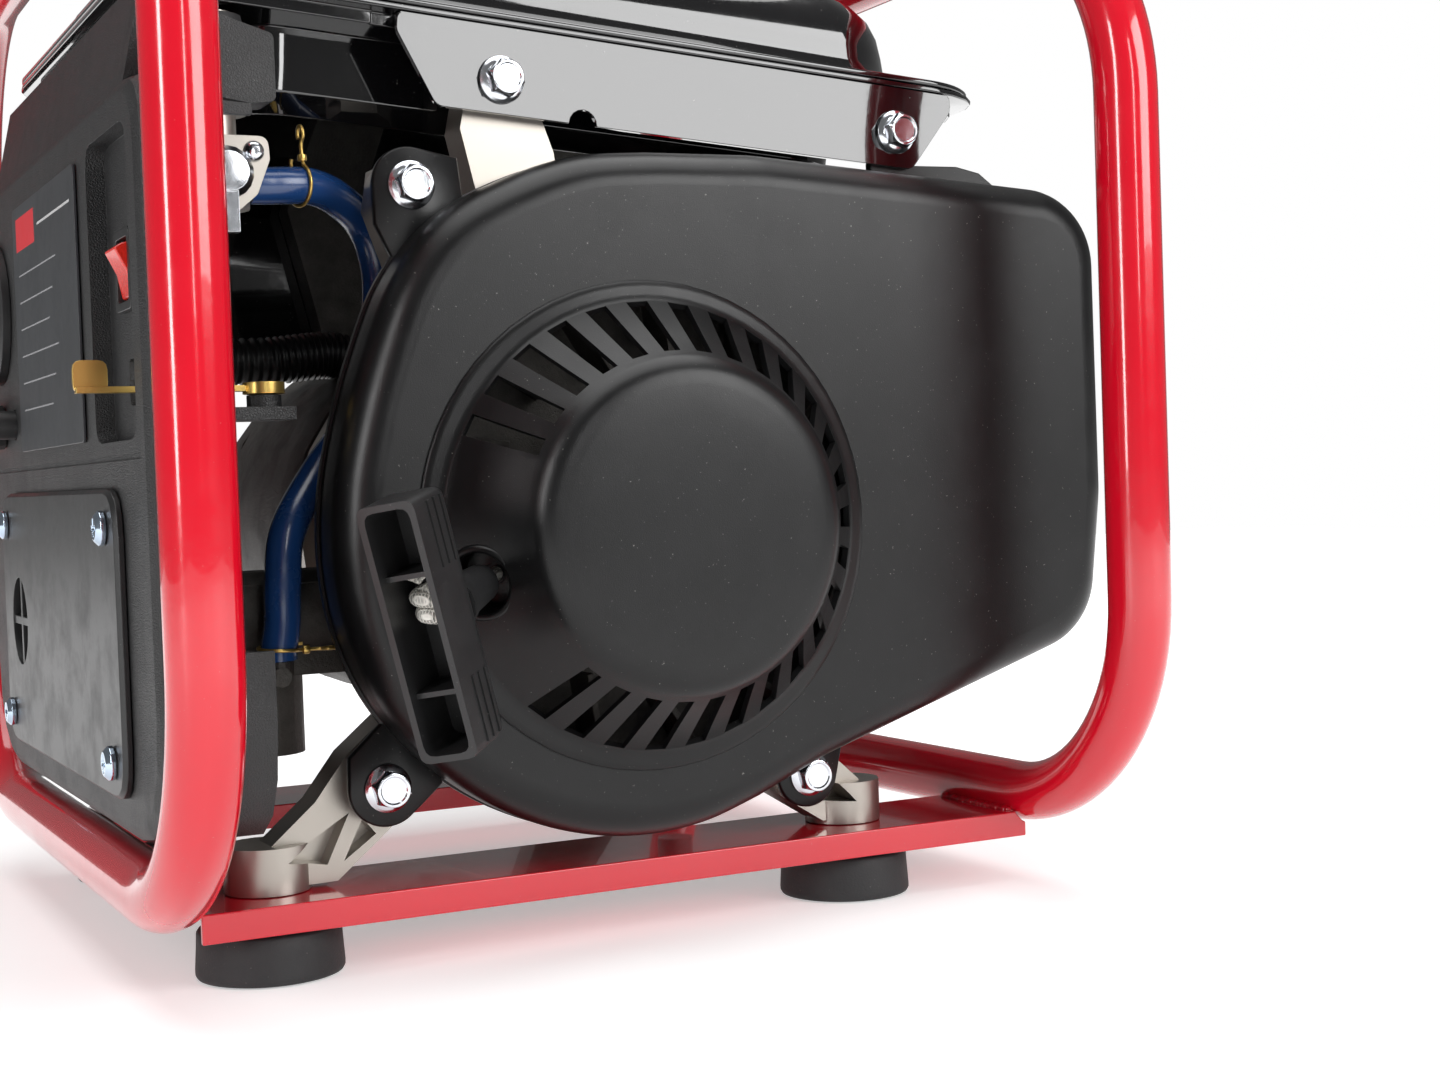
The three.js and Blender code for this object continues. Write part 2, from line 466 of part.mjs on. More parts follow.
// ---- fuel ----
function makeTank() {
  const plan = (half, front, rear, r) => outline(rect(-half, half, front, rear), r, 5);
  const { half, front, rear } = TANK;
  const level = (d, w, r = 26) => ({ loop: plan(half - d, front + d, rear - d, r), w });
  const top = (k, w) => ({ loop: plan(98 - k, -133 + k, 119 - k * 0.9, 26), w });
  add('tank_upper', stack([level(0, 0.2), level(0, 2.2), level(5, 2.4), top(0, 3.2), top(1, 10),
    top(4, 20), top(10, 28), top(20, 33.5), top(38, 36.5)], ALONG.Z), MAT.gloss, tank);
  const bottom = join(
    stack([level(5, -6), level(5, -2.1), level(0, -1.9), level(0, -0.1)], ALONG.Z),
    stack([{ loop: plan(75, -105, 97, 20), w: -31 }, { loop: plan(80, -110, 102, 22), w: -25 },
      { loop: plan(81, -112, 104, 24), w: -5 }], ALONG.Z));
  const seat = [1, -1].map((s) => block(s > 0 ? 98 : -106, s > 0 ? 106 : -98, -72, 134, -8, -2.1));
  add('tank_lower', cut(bottom, ...seat), MAT.gloss, tank);
  const cap = join(turned([[0, 36.8], [27, 36.8], [30, 38.5], [30, 50], [27, 53.5], [10, 55], [0, 55]], 24),
    ...Array.from({ length: 10 }, (_, k) => new THREE.BoxGeometry(3, 11, 4)
      .translate(30, 44.5, 0).rotateY(k * Math.PI / 5)));
  add('fuel_cap', aim(cap, Z, new THREE.Vector3(0, -20, 0)), MAT.satin, tank);
  for (const [name, s] of [['right', 1], ['left', -1]]) {
    const span = (a, b) => (s > 0 ? [a, b] : [-b, -a]);
    const foot = s > 0 ? [[113, -28.5], [-53, -28.5]] : [[94, -79], [-16, -79], [-66, -95]];
    const sheet = plateX([[-66, -2.4], [127, -2.4], [127, -8], ...foot, [-66, -8]],
      ...span(102.6, 104.6), 4);
    const fold = block(...span(98.6, 104.6), -65, 126, -4.2, -2.4);
    const notch = rod(4.6, new THREE.Vector3(s * 105 - 10, -6, -28.5), X, 20, 16);
    add(`tank_bracket_${name}`, s > 0 ? cut(join(sheet, fold), notch) : join(sheet, fold), MAT.gloss, tank);
    for (const [end, y, h] of [['front', -33.2, -18.4], ['rear', 105.6, -17.2]]) {
      const bolt = flangeBolt(new THREE.Vector3(s * 104.9, y, h), s > 0 ? X : X.clone().negate());
      add(`bracket_bolt_${name}_${end}`, bolt, MAT.zinc, tank);
    }
  }
}
function makeFuelTap() {
  const c = new THREE.Vector3(92, -117.5, 232.6);
  const body = join(rod(9, new THREE.Vector3(c.x, c.y, c.z - 12), Z, 20, 16),
    rod(6, new THREE.Vector3(c.x, c.y, c.z + 6), Z, 38, 14),
    rod(9, new THREE.Vector3(c.x, c.y, c.z + 15), Z, 2.6, 16),
    plateX([[-130.4, 240.6], [-105, 240.6], [-104.6, 234], [-108.5, 224], [-114, 219.2],
      [-121.5, 219.2], [-127, 224], [-130.8, 234]], c.x + 6, c.x + 10, 3),
    rod(5, new THREE.Vector3(c.x - 2, c.y, 228.3), Y, 9.3, 14));
  add('fuel_tap', body, MAT.alloy);
  const lever = join(aim(turned([[0, 0], [7.5, 0], [7.5, 3], [5.6, 5.4], [0, 6]], 18), X,
    new THREE.Vector3(c.x + 10.3, c.y - 0.2, c.z - 3)),
    block(c.x + 12, c.x + 15.4, c.y - 2.6, c.y + 2.2, c.z - 20, c.z - 4));
  add('fuel_tap_lever', lever, MAT.zinc);
  const hose = [[90, -107.6, 228.2], [90, -102, 228.3], [89.6, -95.5, 228.7], [87, -89, 229],
    [80, -80, 227.5], [73, -70, 222], [70, -64.5, 213], [69.5, -63, 198], [70, -68, 168],
    [75, -86, 145], [83, -98.5, 128], [84, -101, 113], [84, -101.6, 101], [84, -103, 92.5],
    [84, -103, 89.8]]
    .map((p) => new THREE.Vector3(...p));
  add('fuel_hose', bar(hose, 5.4, 10, { smooth: 24 }), MAT.hose);
}
function makeCarburettor() {
  const bowl = rod(13, new THREE.Vector3(62, -103.4, 60.4), Z, 28, 20);
  const throat = rod(14, new THREE.Vector3(62, -117.2, 102), Y, 52.9, 20);
  const flange = slabY(outline(rect(46, 78, 90, 114), 6, 3), -69, -64.3);
  const waist = block(51, 72, -114, -76, 84, 112);
  const cutLine = rod(2.6, new THREE.Vector3(62, -94, 110), Z, 12, 10);
  const spigot = join(rod(3, new THREE.Vector3(70, -103, 85), X, 17, 10),
    rod(3, new THREE.Vector3(84, -103, 84), Z, 5.4, 10));
  add('carburettor', join(bowl, throat, flange, waist, cutLine, spigot), MAT.alloy);
  const box = slabY(outline(rect(-78, 88, 62, 136), 10, 3), -146.6, -117.5);
  add('air_filter_box', box, MAT.grain);
}

// ---- control panel ----
function makePanel() {
  const { half, low, face, back, wall } = PANEL;
  const edge = (d) => outline([[-half + d, low + d, 34], [half - d, low + d, 34],
    [half - d, 252 - d, 16], [-half + d, 252 - d, 16]], 16, 4);
  const body = stack([{ loop: edge(0), w: -back }, { loop: edge(0), w: -face - 5 },
    { loop: edge(1.4), w: -face - 1.4 }, { loop: edge(4.5), w: -face }], ALONG.Y);
  const hollow = stack([{ loop: edge(wall), w: -back - 3 }, { loop: edge(wall), w: -face - 5.5 },
    { loop: edge(wall + 3), w: -face - wall }], ALONG.Y);
  const brow = plateX([[-148, 248], [-141, 281], [-138, 281], [-142, 250], [-141, 240], [-147.6, 240]],
    -112, 112);
  const browEnd = plateX([[-146, 240], [-139, 270], [-112, 262], [-112, 244]], 124, 136.6, 2);
  const channel = slabY(outline(rect(70, 125, 155, 240), 7, 3), face - 4, face + 5.6);
  const channelBack = slabY(outline(rect(67, 128, 152, 243), 8, 3), face + 0.5, face + 8);
  const shelf = join(block(90, 106, face + 6, -101, 160, 163.7),
    rod(5, new THREE.Vector3(97.5, -108, 163), Z, 4.3, 14));
  const slot = slabY(outline(rect(92, 118, 165, 178), 2, 2), face - 5, face + 12);
  const rocker = slabY(outline(rect(91, 106, 193.4, 211.2), 1, 2), face - 5, face + 12);
  const step = slabY(outline(rect(-128, 128, 149.6, 151.2)), face - 4, face + 0.9);
  const filterWindow = slabY(outline(rect(-84, 94, 64.5, 133), 8, 3), face - 4, face + 8);
  const sockets = slabY(disc(21, 28, -96, 206), face - 4, face + 8);
  const holes = [[-118, 166], [-96, 166], [-74, 166]].map(([x, z]) =>
    slabY(disc(5.4, 16, x, z), face - 4, face + 8));
  const whole = join(cut(body, hollow), channelBack, brow, browEnd, shelf);
  const notches = [block(124, 142, -131, -118, 97, 240), block(-142, -124, -131, -118, 97, 240),
    block(81.5, 104, -128, -118, 246, 255)];
  add('control_panel', cut(whole, channel, slot, rocker, step, filterWindow, sockets, ...holes,
    ...notches),
    MAT.grain);
}
function makePanelParts() {
  const { face } = PANEL;
  const well = face + 5.6;                         // floor of the switch channel
  const rock = plateX([[-3, -9.9], [3, -9.9], [4, -8], [4, 8], [3, 9.9], [-2.4, 10.1], [-5.6, 8.8],
    [-7.6, 7.1], [-4.4, -1]].map(([y, z]) => [well + 2 + y, 202.3 + 0.78 * z]), 91.8, 105.2);
  const rim = cut(slabY(outline(rect(88.5, 108.5, 191, 213.6), 2, 2), well - 2.3, well - GAP),
    slabY(outline(rect(91.2, 105.8, 193.6, 211), 1, 2), well - 6, well + 4));
  add('rocker_bezel', rim, MAT.grain);
  add('rocker_switch', rock, MAT.switchRed);
  const arm = block(96, 99.4, -160.4, -108, 168.4, 170.2);
  const tab = slabX(outline(rect(-161, -151.5, 168.4, 177.6), 2.6, 3), 96, 97.6);
  const hub = rod(6, new THREE.Vector3(97.5, -108, 167.6), Z, 3.4, 16);
  add('choke_lever', join(arm, tab, hub), MAT.brass);
  const coverPlate = (d) => outline(rect(-94 + d, 104 - d, 54.5 + d, 142 - d), 14 - d, 4);
  const plate = stack([{ loop: coverPlate(0), w: -face + GAP }, { loop: coverPlate(0), w: -face + 1.8 },
    { loop: coverPlate(1.2), w: -face + 3 }], ALONG.Y);
  const snorkel = slabY(disc(15, 26, -62, 98), face - 6, face + 2);
  const bars = [slabY(outline(rect(-78.5, -45.5, 96.6, 99.4)), face - 2.4, face - 0.8),
    slabY(outline(rect(-63.4, -60.6, 81.5, 114.5)), face - 2.4, face - 0.8)];
  add('filter_cover', join(cut(plate, snorkel), ...bars), MAT.grain);
  [[-82, 131], [91, 131], [-82, 65], [91, 65]].forEach(([x, z], i) =>
    add(`cover_screw_${i + 1}`, panScrew(new THREE.Vector3(x, face - 3 - GAP, z), Y.clone().negate()),
      MAT.zinc));
  add('data_plate', slabY(outline(rect(-54, 57, 156, 238), 2, 2), face - 0.9 - GAP, face - GAP),
    MAT.label);
  const insert = aim(turned([[0, 0], [20.6, 0], [20.6, 4], [25, 4.2], [25, 7], [19.5, 8.4], [19, 3],
    [0, 3]], 22), Y.clone().negate(), new THREE.Vector3(-96, face + 4, 206));
  const pins = [-9.5, 9.5].map((x) => rod(2.6, new THREE.Vector3(-96 + x, face + 5, 206),
    Y.clone().negate(), 10, 12));
  add('ac_socket', cut(insert, ...pins), MAT.grain);
  for (const [name, x, material] of [['dc_terminal_plus', -118, MAT.switchRed],
    ['dc_terminal_minus', -96, MAT.grain]])
    add(name, aim(turned([[0, 0], [5, 0], [5, 4.2], [8, 4.3], [8.4, 12], [6.5, 17], [0, 18]], 10),
      Y.clone().negate(), new THREE.Vector3(x, face + 4, 166)), material);
  add('breaker_button', aim(turned([[0, -2], [5, -2], [5, 10], [4.2, 11.4], [0, 11.8]], 16),
    Y.clone().negate(), new THREE.Vector3(-74, face + 3, 166)), MAT.satin);
}

makeHoops();
makeRail('rail_right', 1);
makeRail('rail_left', -1);
makeFeet();
makeCrankcase();
makeCylinder();
makeCowl();
makeExhaust();
makeCover();
makeRecoil();
makeHandle();
makeAlternator();
makeTank();
makeFuelTap();
makeCarburettor();
makePanel();
makePanelParts();
root.position.y = -2.5;                            // centres the part between its front and rear

export default root;
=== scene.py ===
import math

import bmesh
import bpy
from mathutils import Matrix, Vector, geometry


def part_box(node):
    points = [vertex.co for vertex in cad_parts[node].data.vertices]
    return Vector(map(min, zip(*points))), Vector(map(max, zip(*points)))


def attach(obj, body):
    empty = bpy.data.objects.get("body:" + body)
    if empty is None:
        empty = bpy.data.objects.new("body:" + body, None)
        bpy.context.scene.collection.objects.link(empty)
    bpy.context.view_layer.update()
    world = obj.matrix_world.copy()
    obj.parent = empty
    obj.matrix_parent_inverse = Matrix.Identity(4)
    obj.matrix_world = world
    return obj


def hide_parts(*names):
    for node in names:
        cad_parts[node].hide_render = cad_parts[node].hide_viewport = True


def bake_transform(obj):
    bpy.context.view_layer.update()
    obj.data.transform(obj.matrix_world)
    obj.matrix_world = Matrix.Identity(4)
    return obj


bl_info = {
    "name": "Portable generator",
    "version": (1, 0, 0),
    "blender": (4, 5, 0),
    "location": "View3D > Sidebar > Generator",
    "description": "Builds the looks of an open-frame portable generator around its frame",
    "category": "Object",
}

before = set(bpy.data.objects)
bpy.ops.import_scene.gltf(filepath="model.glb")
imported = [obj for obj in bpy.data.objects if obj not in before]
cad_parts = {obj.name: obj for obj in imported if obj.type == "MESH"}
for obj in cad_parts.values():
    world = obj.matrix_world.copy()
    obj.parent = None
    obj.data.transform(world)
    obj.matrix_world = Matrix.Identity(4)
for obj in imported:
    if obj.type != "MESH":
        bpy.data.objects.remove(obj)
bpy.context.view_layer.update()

MM = 0.001
# The design numbers below are in millimetres, before this shift along Y.
SHIFT_Y = -2.5
PULL = Vector((0.7, -0.685, -0.2)).normalized()      # the way the starter rope is drawn
GUIDE = Vector((141.0, -60.0, 112.5))                # where the rope leaves the cover
SHAFT = Vector((0.0, -2.6, 125.7))                   # a point of the crank line
TILT = math.radians(-4.31)                           # lean of the tank, down to the rear
SEAM = 275.9                                         # height of the tank's seam
X, Y, Z = Vector((1, 0, 0)), Vector((0, 1, 0)), Vector((0, 0, 1))


def place(x, y, z):
    """A design point in millimetres as a point of the frame in metres."""
    return Vector((x, y + SHIFT_Y, z)) * MM


def centre(cad_node):
    low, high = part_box(cad_node)
    return (Vector(low) + Vector(high)) / 2


# ---- settings

class GeneratorSettings(bpy.types.PropertyGroup):
    tube_sides: bpy.props.IntProperty(
        name="Tube sides", description="Facets round the frame tube", default=48, min=12)
    tube_radius: bpy.props.FloatProperty(
        name="Tube radius", description="Radius of the frame tube", default=0.0099, unit="LENGTH")
    bend_radius: bpy.props.FloatProperty(
        name="Bend radius", description="Centre-line radius of the hoop bends",
        default=0.068, unit="LENGTH")
    edge_round: bpy.props.FloatProperty(
        name="Edge round", description="Rounding on small edges", default=0.0004, unit="LENGTH")
    enamel: bpy.props.FloatVectorProperty(
        name="Enamel", description="Colour of the frame paint", subtype="COLOR",
        default=(0.56, 0.002, 0.014))
    cover_black: bpy.props.FloatVectorProperty(
        name="Cover black", description="Colour of the satin black covers", subtype="COLOR",
        default=(0.0045, 0.0045, 0.0048))
    plastic_black: bpy.props.FloatVectorProperty(
        name="Plastic black", description="Colour of the moulded black plastic",
        subtype="COLOR", default=(0.013, 0.013, 0.0135))
    hose_blue: bpy.props.FloatVectorProperty(
        name="Hose blue", description="Colour of the fuel hose", subtype="COLOR",
        default=(0.010, 0.048, 0.17))


def settings():
    return bpy.context.scene.generator_settings


# ---- shader groups

def link(tree, a, b):
    tree.links.new(a, b)


def node(tree, kind, **values):
    n = tree.nodes.new(kind)
    for key, value in values.items():
        if key in n.inputs:
            n.inputs[key].default_value = value
        else:
            setattr(n, key, value)
    return n


def new_group(name, build):
    """A shader node group with a Vector and a Scale input, and Height and Tone outputs."""
    if name in bpy.data.node_groups:
        return bpy.data.node_groups[name]
    tree = bpy.data.node_groups.new(name, "ShaderNodeTree")
    face = tree.interface
    face.new_socket(name="Vector", in_out="INPUT", socket_type="NodeSocketVector")
    scale = face.new_socket(name="Scale", in_out="INPUT", socket_type="NodeSocketFloat")
    scale.default_value = 100.0
    face.new_socket(name="Height", in_out="OUTPUT", socket_type="NodeSocketFloat")
    face.new_socket(name="Tone", in_out="OUTPUT", socket_type="NodeSocketFloat")
    build(tree, node(tree, "NodeGroupInput"), node(tree, "NodeGroupOutput"))
    return tree


def scaled_noise(tree, source, factor, detail=3.0, rough=0.55):
    times = node(tree, "ShaderNodeMath", operation="MULTIPLY")
    times.inputs[1].default_value = factor
    link(tree, source.outputs["Scale"], times.inputs[0])
    n = node(tree, "ShaderNodeTexNoise", Detail=detail, Roughness=rough)
    link(tree, source.outputs["Vector"], n.inputs["Vector"])
    link(tree, times.outputs[0], n.inputs["Scale"])
    return n


def spread(tree, value, low, high, to_low=0.0, to_high=1.0):
    n = node(tree, "ShaderNodeMapRange")
    for key, v in zip(("From Min", "From Max", "To Min", "To Max"), (low, high, to_low, to_high)):
        n.inputs[key].default_value = v
    link(tree, value, n.inputs["Value"])
    return n.outputs["Result"]


def build_fine_relief(tree, source, sink):
    """Sprayed or powder-coated skin: fine pimples over a slow wave."""
    fine = scaled_noise(tree, source, 1.0, 2.0)
    slow = scaled_noise(tree, source, 0.03, 2.0)
    link(tree, spread(tree, fine.outputs["Fac"], 0.3, 0.7), sink.inputs["Height"])
    link(tree, spread(tree, slow.outputs["Fac"], 0.35, 0.65), sink.inputs["Tone"])


def build_leather_grain(tree, source, sink):
    """Moulded leather grain: rounded cells parted by narrow valleys."""
    warp = scaled_noise(tree, source, 0.8, 2.0)
    push = node(tree, "ShaderNodeVectorMath", operation="MULTIPLY_ADD")
    push.inputs[1].default_value = (0.0007, 0.0007, 0.0007)
    link(tree, warp.outputs["Color"], push.inputs[0])
    link(tree, source.outputs["Vector"], push.inputs[2])
    cells = node(tree, "ShaderNodeTexVoronoi", feature="DISTANCE_TO_EDGE")
    link(tree, push.outputs[0], cells.inputs["Vector"])
    link(tree, source.outputs["Scale"], cells.inputs["Scale"])
    link(tree, spread(tree, cells.outputs["Distance"], 0.0, 0.28), sink.inputs["Height"])
    slow = scaled_noise(tree, source, 0.06, 3.0)
    link(tree, spread(tree, slow.outputs["Fac"], 0.35, 0.65), sink.inputs["Tone"])


def build_cast_skin(tree, source, sink):
    """As-cast metal: pitted skin with cloudy darker patches."""
    pits = scaled_noise(tree, source, 1.0, 6.0, 0.7)
    cloud = scaled_noise(tree, source, 0.08, 4.0, 0.6)
    link(tree, spread(tree, pits.outputs["Fac"], 0.32, 0.6), sink.inputs["Height"])
    mix = node(tree, "ShaderNodeMath", operation="MULTIPLY")
    link(tree, spread(tree, cloud.outputs["Fac"], 0.3, 0.62), mix.inputs[0])
    link(tree, spread(tree, pits.outputs["Fac"], 0.25, 0.5, 0.55, 1.0), mix.inputs[1])
    link(tree, mix.outputs[0], sink.inputs["Tone"])


def build_twist(tree, source, sink):
    """Braided strands crossing both ways."""
    waves = []
    for turn in (0.75, -0.75):
        turned = node(tree, "ShaderNodeVectorRotate", rotation_type="Z_AXIS")
        turned.inputs["Angle"].default_value = turn
        link(tree, source.outputs["Vector"], turned.inputs["Vector"])
        w = node(tree, "ShaderNodeTexWave", Distortion=0.6)
        link(tree, turned.outputs[0], w.inputs["Vector"])
        link(tree, source.outputs["Scale"], w.inputs["Scale"])
        waves.append(w.outputs["Fac"])
    both = node(tree, "ShaderNodeMath", operation="MAXIMUM")
    link(tree, waves[0], both.inputs[0])
    link(tree, waves[1], both.inputs[1])
    link(tree, both.outputs[0], sink.inputs["Height"])
    link(tree, both.outputs[0], sink.inputs["Tone"])


def build_handling(tree, source, sink):
    """Specks of dust in Height and broad smears from handling in Tone."""
    specks = scaled_noise(tree, source, 30.0, 1.0)
    smears = scaled_noise(tree, source, 1.0, 5.0, 0.7)
    link(tree, spread(tree, specks.outputs["Fac"], 0.76, 0.82), sink.inputs["Height"])
    link(tree, spread(tree, smears.outputs["Fac"], 0.45, 0.75), sink.inputs["Tone"])


GROUPS = {
    "fine_relief": build_fine_relief,
    "leather_grain": build_leather_grain,
    "cast_skin": build_cast_skin,
    "twisted_strands": build_twist,
    "handling_marks": build_handling,
}


def group_node(tree, name, vector, scale):
    n = tree.nodes.new("ShaderNodeGroup")
    n.node_tree = new_group(name, GROUPS[name])
    n.inputs["Scale"].default_value = scale
    link(tree, vector, n.inputs["Vector"])
    return n


def mixed(tree, factor, a, b):
    """A colour mix; a and b are colours or sockets."""
    n = node(tree, "ShaderNodeMix", data_type="RGBA")
    link(tree, factor, n.inputs["Factor"])
    for key, value in (("A", a), ("B", b)):
        socket = [s for s in n.inputs if s.name == key and s.type == "RGBA"][0]
        if isinstance(value, bpy.types.NodeSocket):
            link(tree, value, socket)
        else:
            socket.default_value = (*value[:3], 1.0)
    return [s for s in n.outputs if s.type == "RGBA"][0]


def finish(name, colour, roughness, relief="fine_relief", scale=1500.0, bump=0.15, depth=0.0001,
           tone=0.12, vary=0.06, dust=0.0, metallic=0.0, coat=0.0, coat_roughness=0.05,
           specular=0.5, ior=1.5, paint=None, **sockets):
    """A material whose colour, gloss and relief change over the surface."""
    if name in bpy.data.materials:
        return bpy.data.materials[name]
    mat = bpy.data.materials.new(name)
    mat.use_nodes = True
    mat.diffuse_color = (*colour[:3], 1.0)
    tree = mat.node_tree
    shader = tree.nodes["Principled BSDF"]
    shader.inputs["Metallic"].default_value = metallic
    shader.inputs["Coat Weight"].default_value = coat
    shader.inputs["Coat Roughness"].default_value = coat_roughness
    shader.inputs["Specular IOR Level"].default_value = specular
    shader.inputs["IOR"].default_value = ior
    for key, value in sockets.items():
        shader.inputs[key.replace("_", " ")].default_value = value
    where = node(tree, "ShaderNodeTexCoord").outputs["Object"]
    skin = group_node(tree, relief, where, scale)
    marks = group_node(tree, "handling_marks", where, 45.0)
    dark = tuple(c * (1 - tone) for c in colour)
    light = tuple(min(1.0, c * (1 + tone)) for c in colour)
    base = mixed(tree, skin.outputs["Tone"], dark, light)
    if paint:
        base = paint(tree, where, base)
    if dust:
        amount = node(tree, "ShaderNodeMath", operation="MULTIPLY")
        amount.inputs[1].default_value = dust
        link(tree, marks.outputs["Height"], amount.inputs[0])
        base = mixed(tree, amount.outputs[0], base, (0.32, 0.31, 0.29))
    link(tree, base, shader.inputs["Base Color"])
    gloss = spread(tree, marks.outputs["Tone"], 0.0, 1.0, roughness - vary, roughness + vary)
    link(tree, gloss, shader.inputs["Roughness"])
    relief_node = node(tree, "ShaderNodeBump", Strength=bump, Distance=depth)
    link(tree, skin.outputs["Height"], relief_node.inputs["Height"])
    link(tree, relief_node.outputs["Normal"], shader.inputs["Normal"])
    return mat


def label_paint(tree, where, base):
    """A blank data plate: a red block at its head and thin pale rules, with no lettering."""
    parts = node(tree, "ShaderNodeSeparateXYZ")
    link(tree, where, parts.inputs[0])

    def between(socket, low, high):
        a = node(tree, "ShaderNodeMath", operation="GREATER_THAN")
        b = node(tree, "ShaderNodeMath", operation="LESS_THAN")
        both = node(tree, "ShaderNodeMath", operation="MULTIPLY")
        for n, limit in ((a, low), (b, high)):
            n.inputs[1].default_value = limit
            link(tree, socket, n.inputs[0])
        link(tree, a.outputs[0], both.inputs[0])
        link(tree, b.outputs[0], both.inputs[1])
        return both.outputs[0]

    def box_mask(x0, x1, z0, z1):
        both = node(tree, "ShaderNodeMath", operation="MULTIPLY")
        link(tree, between(parts.outputs["X"], x0 * MM, x1 * MM), both.inputs[0])
        link(tree, between(parts.outputs["Z"], z0 * MM, z1 * MM), both.inputs[1])
        return both.outputs[0]

    base = mixed(tree, box_mask(-47, -12, 223, 234), base, (0.60, 0.02, 0.03))
    base = mixed(tree, box_mask(-6, 50, 227.6, 228.4), base, (0.55, 0.55, 0.55))
    for k in range(6):
        top = 215 - k * 9
        base = mixed(tree, box_mask(-44, 24 - 7 * (k % 3), top - 0.5, top), base,
                     (0.30, 0.30, 0.31))
    return base


def make_materials():
    s = settings()
    black, plastic = s.cover_black, s.plastic_black
    return {
        "enamel": finish("red_enamel", s.enamel, 0.20, scale=260.0, bump=0.05, depth=0.0003,
                         tone=0.05, vary=0.05, dust=0.2, coat=0.7, coat_roughness=0.03),
        "satin": finish("satin_black_coat", black, 0.33, scale=3200.0, bump=0.30, depth=0.00005,
                        tone=0.15, vary=0.04, dust=0.5, specular=0.33),
        "gloss": finish("gloss_black_enamel", (0.004, 0.004, 0.0045), 0.09, scale=160.0,
                        bump=0.03, depth=0.0003, tone=0.1, vary=0.03, dust=0.5, coat=1.0,
                        coat_roughness=0.02),
        "grain": finish("leather_grain_plastic", plastic, 0.50, relief="leather_grain",
                        scale=1250.0, bump=0.45, depth=0.00022, dust=0.3),
        "plastic": finish("moulded_black_plastic", plastic, 0.42, scale=2400.0, bump=0.2,
                          depth=0.00008, tone=0.15, vary=0.07, dust=0.45),
        "rubber": finish("foot_rubber", (0.018, 0.018, 0.019), 0.72, scale=1400.0, bump=0.35,
                         depth=0.00015, tone=0.2, vary=0.08, dust=0.5),
        "alloy": finish("cast_alloy", (0.30, 0.28, 0.25), 0.46, relief="cast_skin",
                        scale=900.0, bump=0.45, depth=0.00035, tone=0.30, vary=0.10,
                        metallic=0.85, dust=0.2),
        # Painted shade: a darker copy of the cast alloy, for the castings that sit in shade inside
        # the frame.
        "shade_darkened_alloy": finish("shade_darkened_alloy", (0.075, 0.070, 0.064), 0.55, relief="cast_skin",
                             scale=900.0, bump=0.4, depth=0.0003, tone=0.30, vary=0.10,
                             metallic=0.7, dust=0.1),
        "zinc": finish("bright_zinc", (0.66, 0.68, 0.72), 0.20, scale=2200.0, bump=0.08,
                       depth=0.00005, tone=0.10, vary=0.07, metallic=1.0),
        "blue_zinc": finish("blue_zinc", (0.50, 0.60, 0.72), 0.20, scale=2200.0, bump=0.08,
                            depth=0.00005, vary=0.07, metallic=1.0),
        "yellow_zinc": finish("yellow_zinc", (0.72, 0.50, 0.16), 0.26, scale=1200.0, bump=0.08,
                              depth=0.00005, tone=0.25, vary=0.08, metallic=1.0),
        "steel": finish("bare_steel", (0.20, 0.20, 0.21), 0.42, relief="cast_skin", scale=700.0,
                        tone=0.25, vary=0.1, metallic=0.9),
        "stove": finish("heat_black", (0.05, 0.048, 0.046), 0.55, relief="cast_skin",
                        scale=900.0, bump=0.2, tone=0.3, vary=0.1, metallic=0.4),
        "copper": finish("varnished_copper", (0.42, 0.16, 0.07), 0.35, relief="twisted_strands",
                         scale=160.0, bump=0.5, depth=0.0004, tone=0.3, vary=0.08,
                         metallic=0.9, coat=0.6),
        "hose": finish("blue_hose", s.hose_blue, 0.28, scale=400.0, bump=0.05, depth=0.0002,
                       tone=0.15, vary=0.05, coat=0.5, coat_roughness=0.15),
        "rope": finish("braided_rope", (0.66, 0.64, 0.59), 0.85, relief="twisted_strands",
                       scale=330.0, bump=0.9, depth=0.0006, tone=0.35, vary=0.05, specular=0.2),
        "red_plastic": finish("red_plastic", (0.70, 0.022, 0.012), 0.30, scale=900.0, bump=0.05,
                              tone=0.06, vary=0.05, coat=0.3),
        "ceramic": finish("glazed_ceramic", (0.80, 0.79, 0.75), 0.15, scale=300.0, bump=0.03,
                          depth=0.0002, tone=0.03, vary=0.04, coat=0.8),
        "label": finish("blank_label", (0.030, 0.032, 0.036), 0.38, scale=1800.0, bump=0.04,
                        depth=0.00005, tone=0.1, vary=0.05, dust=0.3, paint=label_paint),
    }


MATS = {}


# ---- mesh helpers

def new_piece(name, verts, faces, material, smooth=45.0):
    mesh = bpy.data.meshes.new(name)
    mesh.from_pydata([tuple(v) for v in verts], [], faces)
    mesh.validate()
    mesh.update()
    return link_piece(name, mesh, material, smooth)


def link_piece(name, mesh, material, smooth=45.0):
    ob = bpy.data.objects.new(name, mesh)
    bpy.context.scene.collection.objects.link(ob)
    mesh.materials.clear()
    mesh.materials.append(material)
    shade(mesh, smooth)
    return ob


def shade(mesh, smooth):
    mesh.polygons.foreach_set("use_smooth", [True] * len(mesh.polygons))
    mesh.set_sharp_from_angle(angle=math.radians(smooth))


def apply_modifiers(ob):
    graph = bpy.context.evaluated_depsgraph_get()
    mesh = bpy.data.meshes.new_from_object(ob.evaluated_get(graph))
    ob.modifiers.clear()
    ob.data = mesh
    return ob


def round_edges(ob, width, segments=2, angle=35.0):
    """Rounds every edge sharper than the angle and shades the faces by their size."""
    bevel = ob.modifiers.new("round", "BEVEL")
    bevel.width, bevel.segments = width, segments
    bevel.limit_method, bevel.angle_limit = "ANGLE", math.radians(angle)
    bevel.use_clamp_overlap = True
    apply_modifiers(ob)
    shade(ob.data, 60.0)
    return weigh_normals(ob)


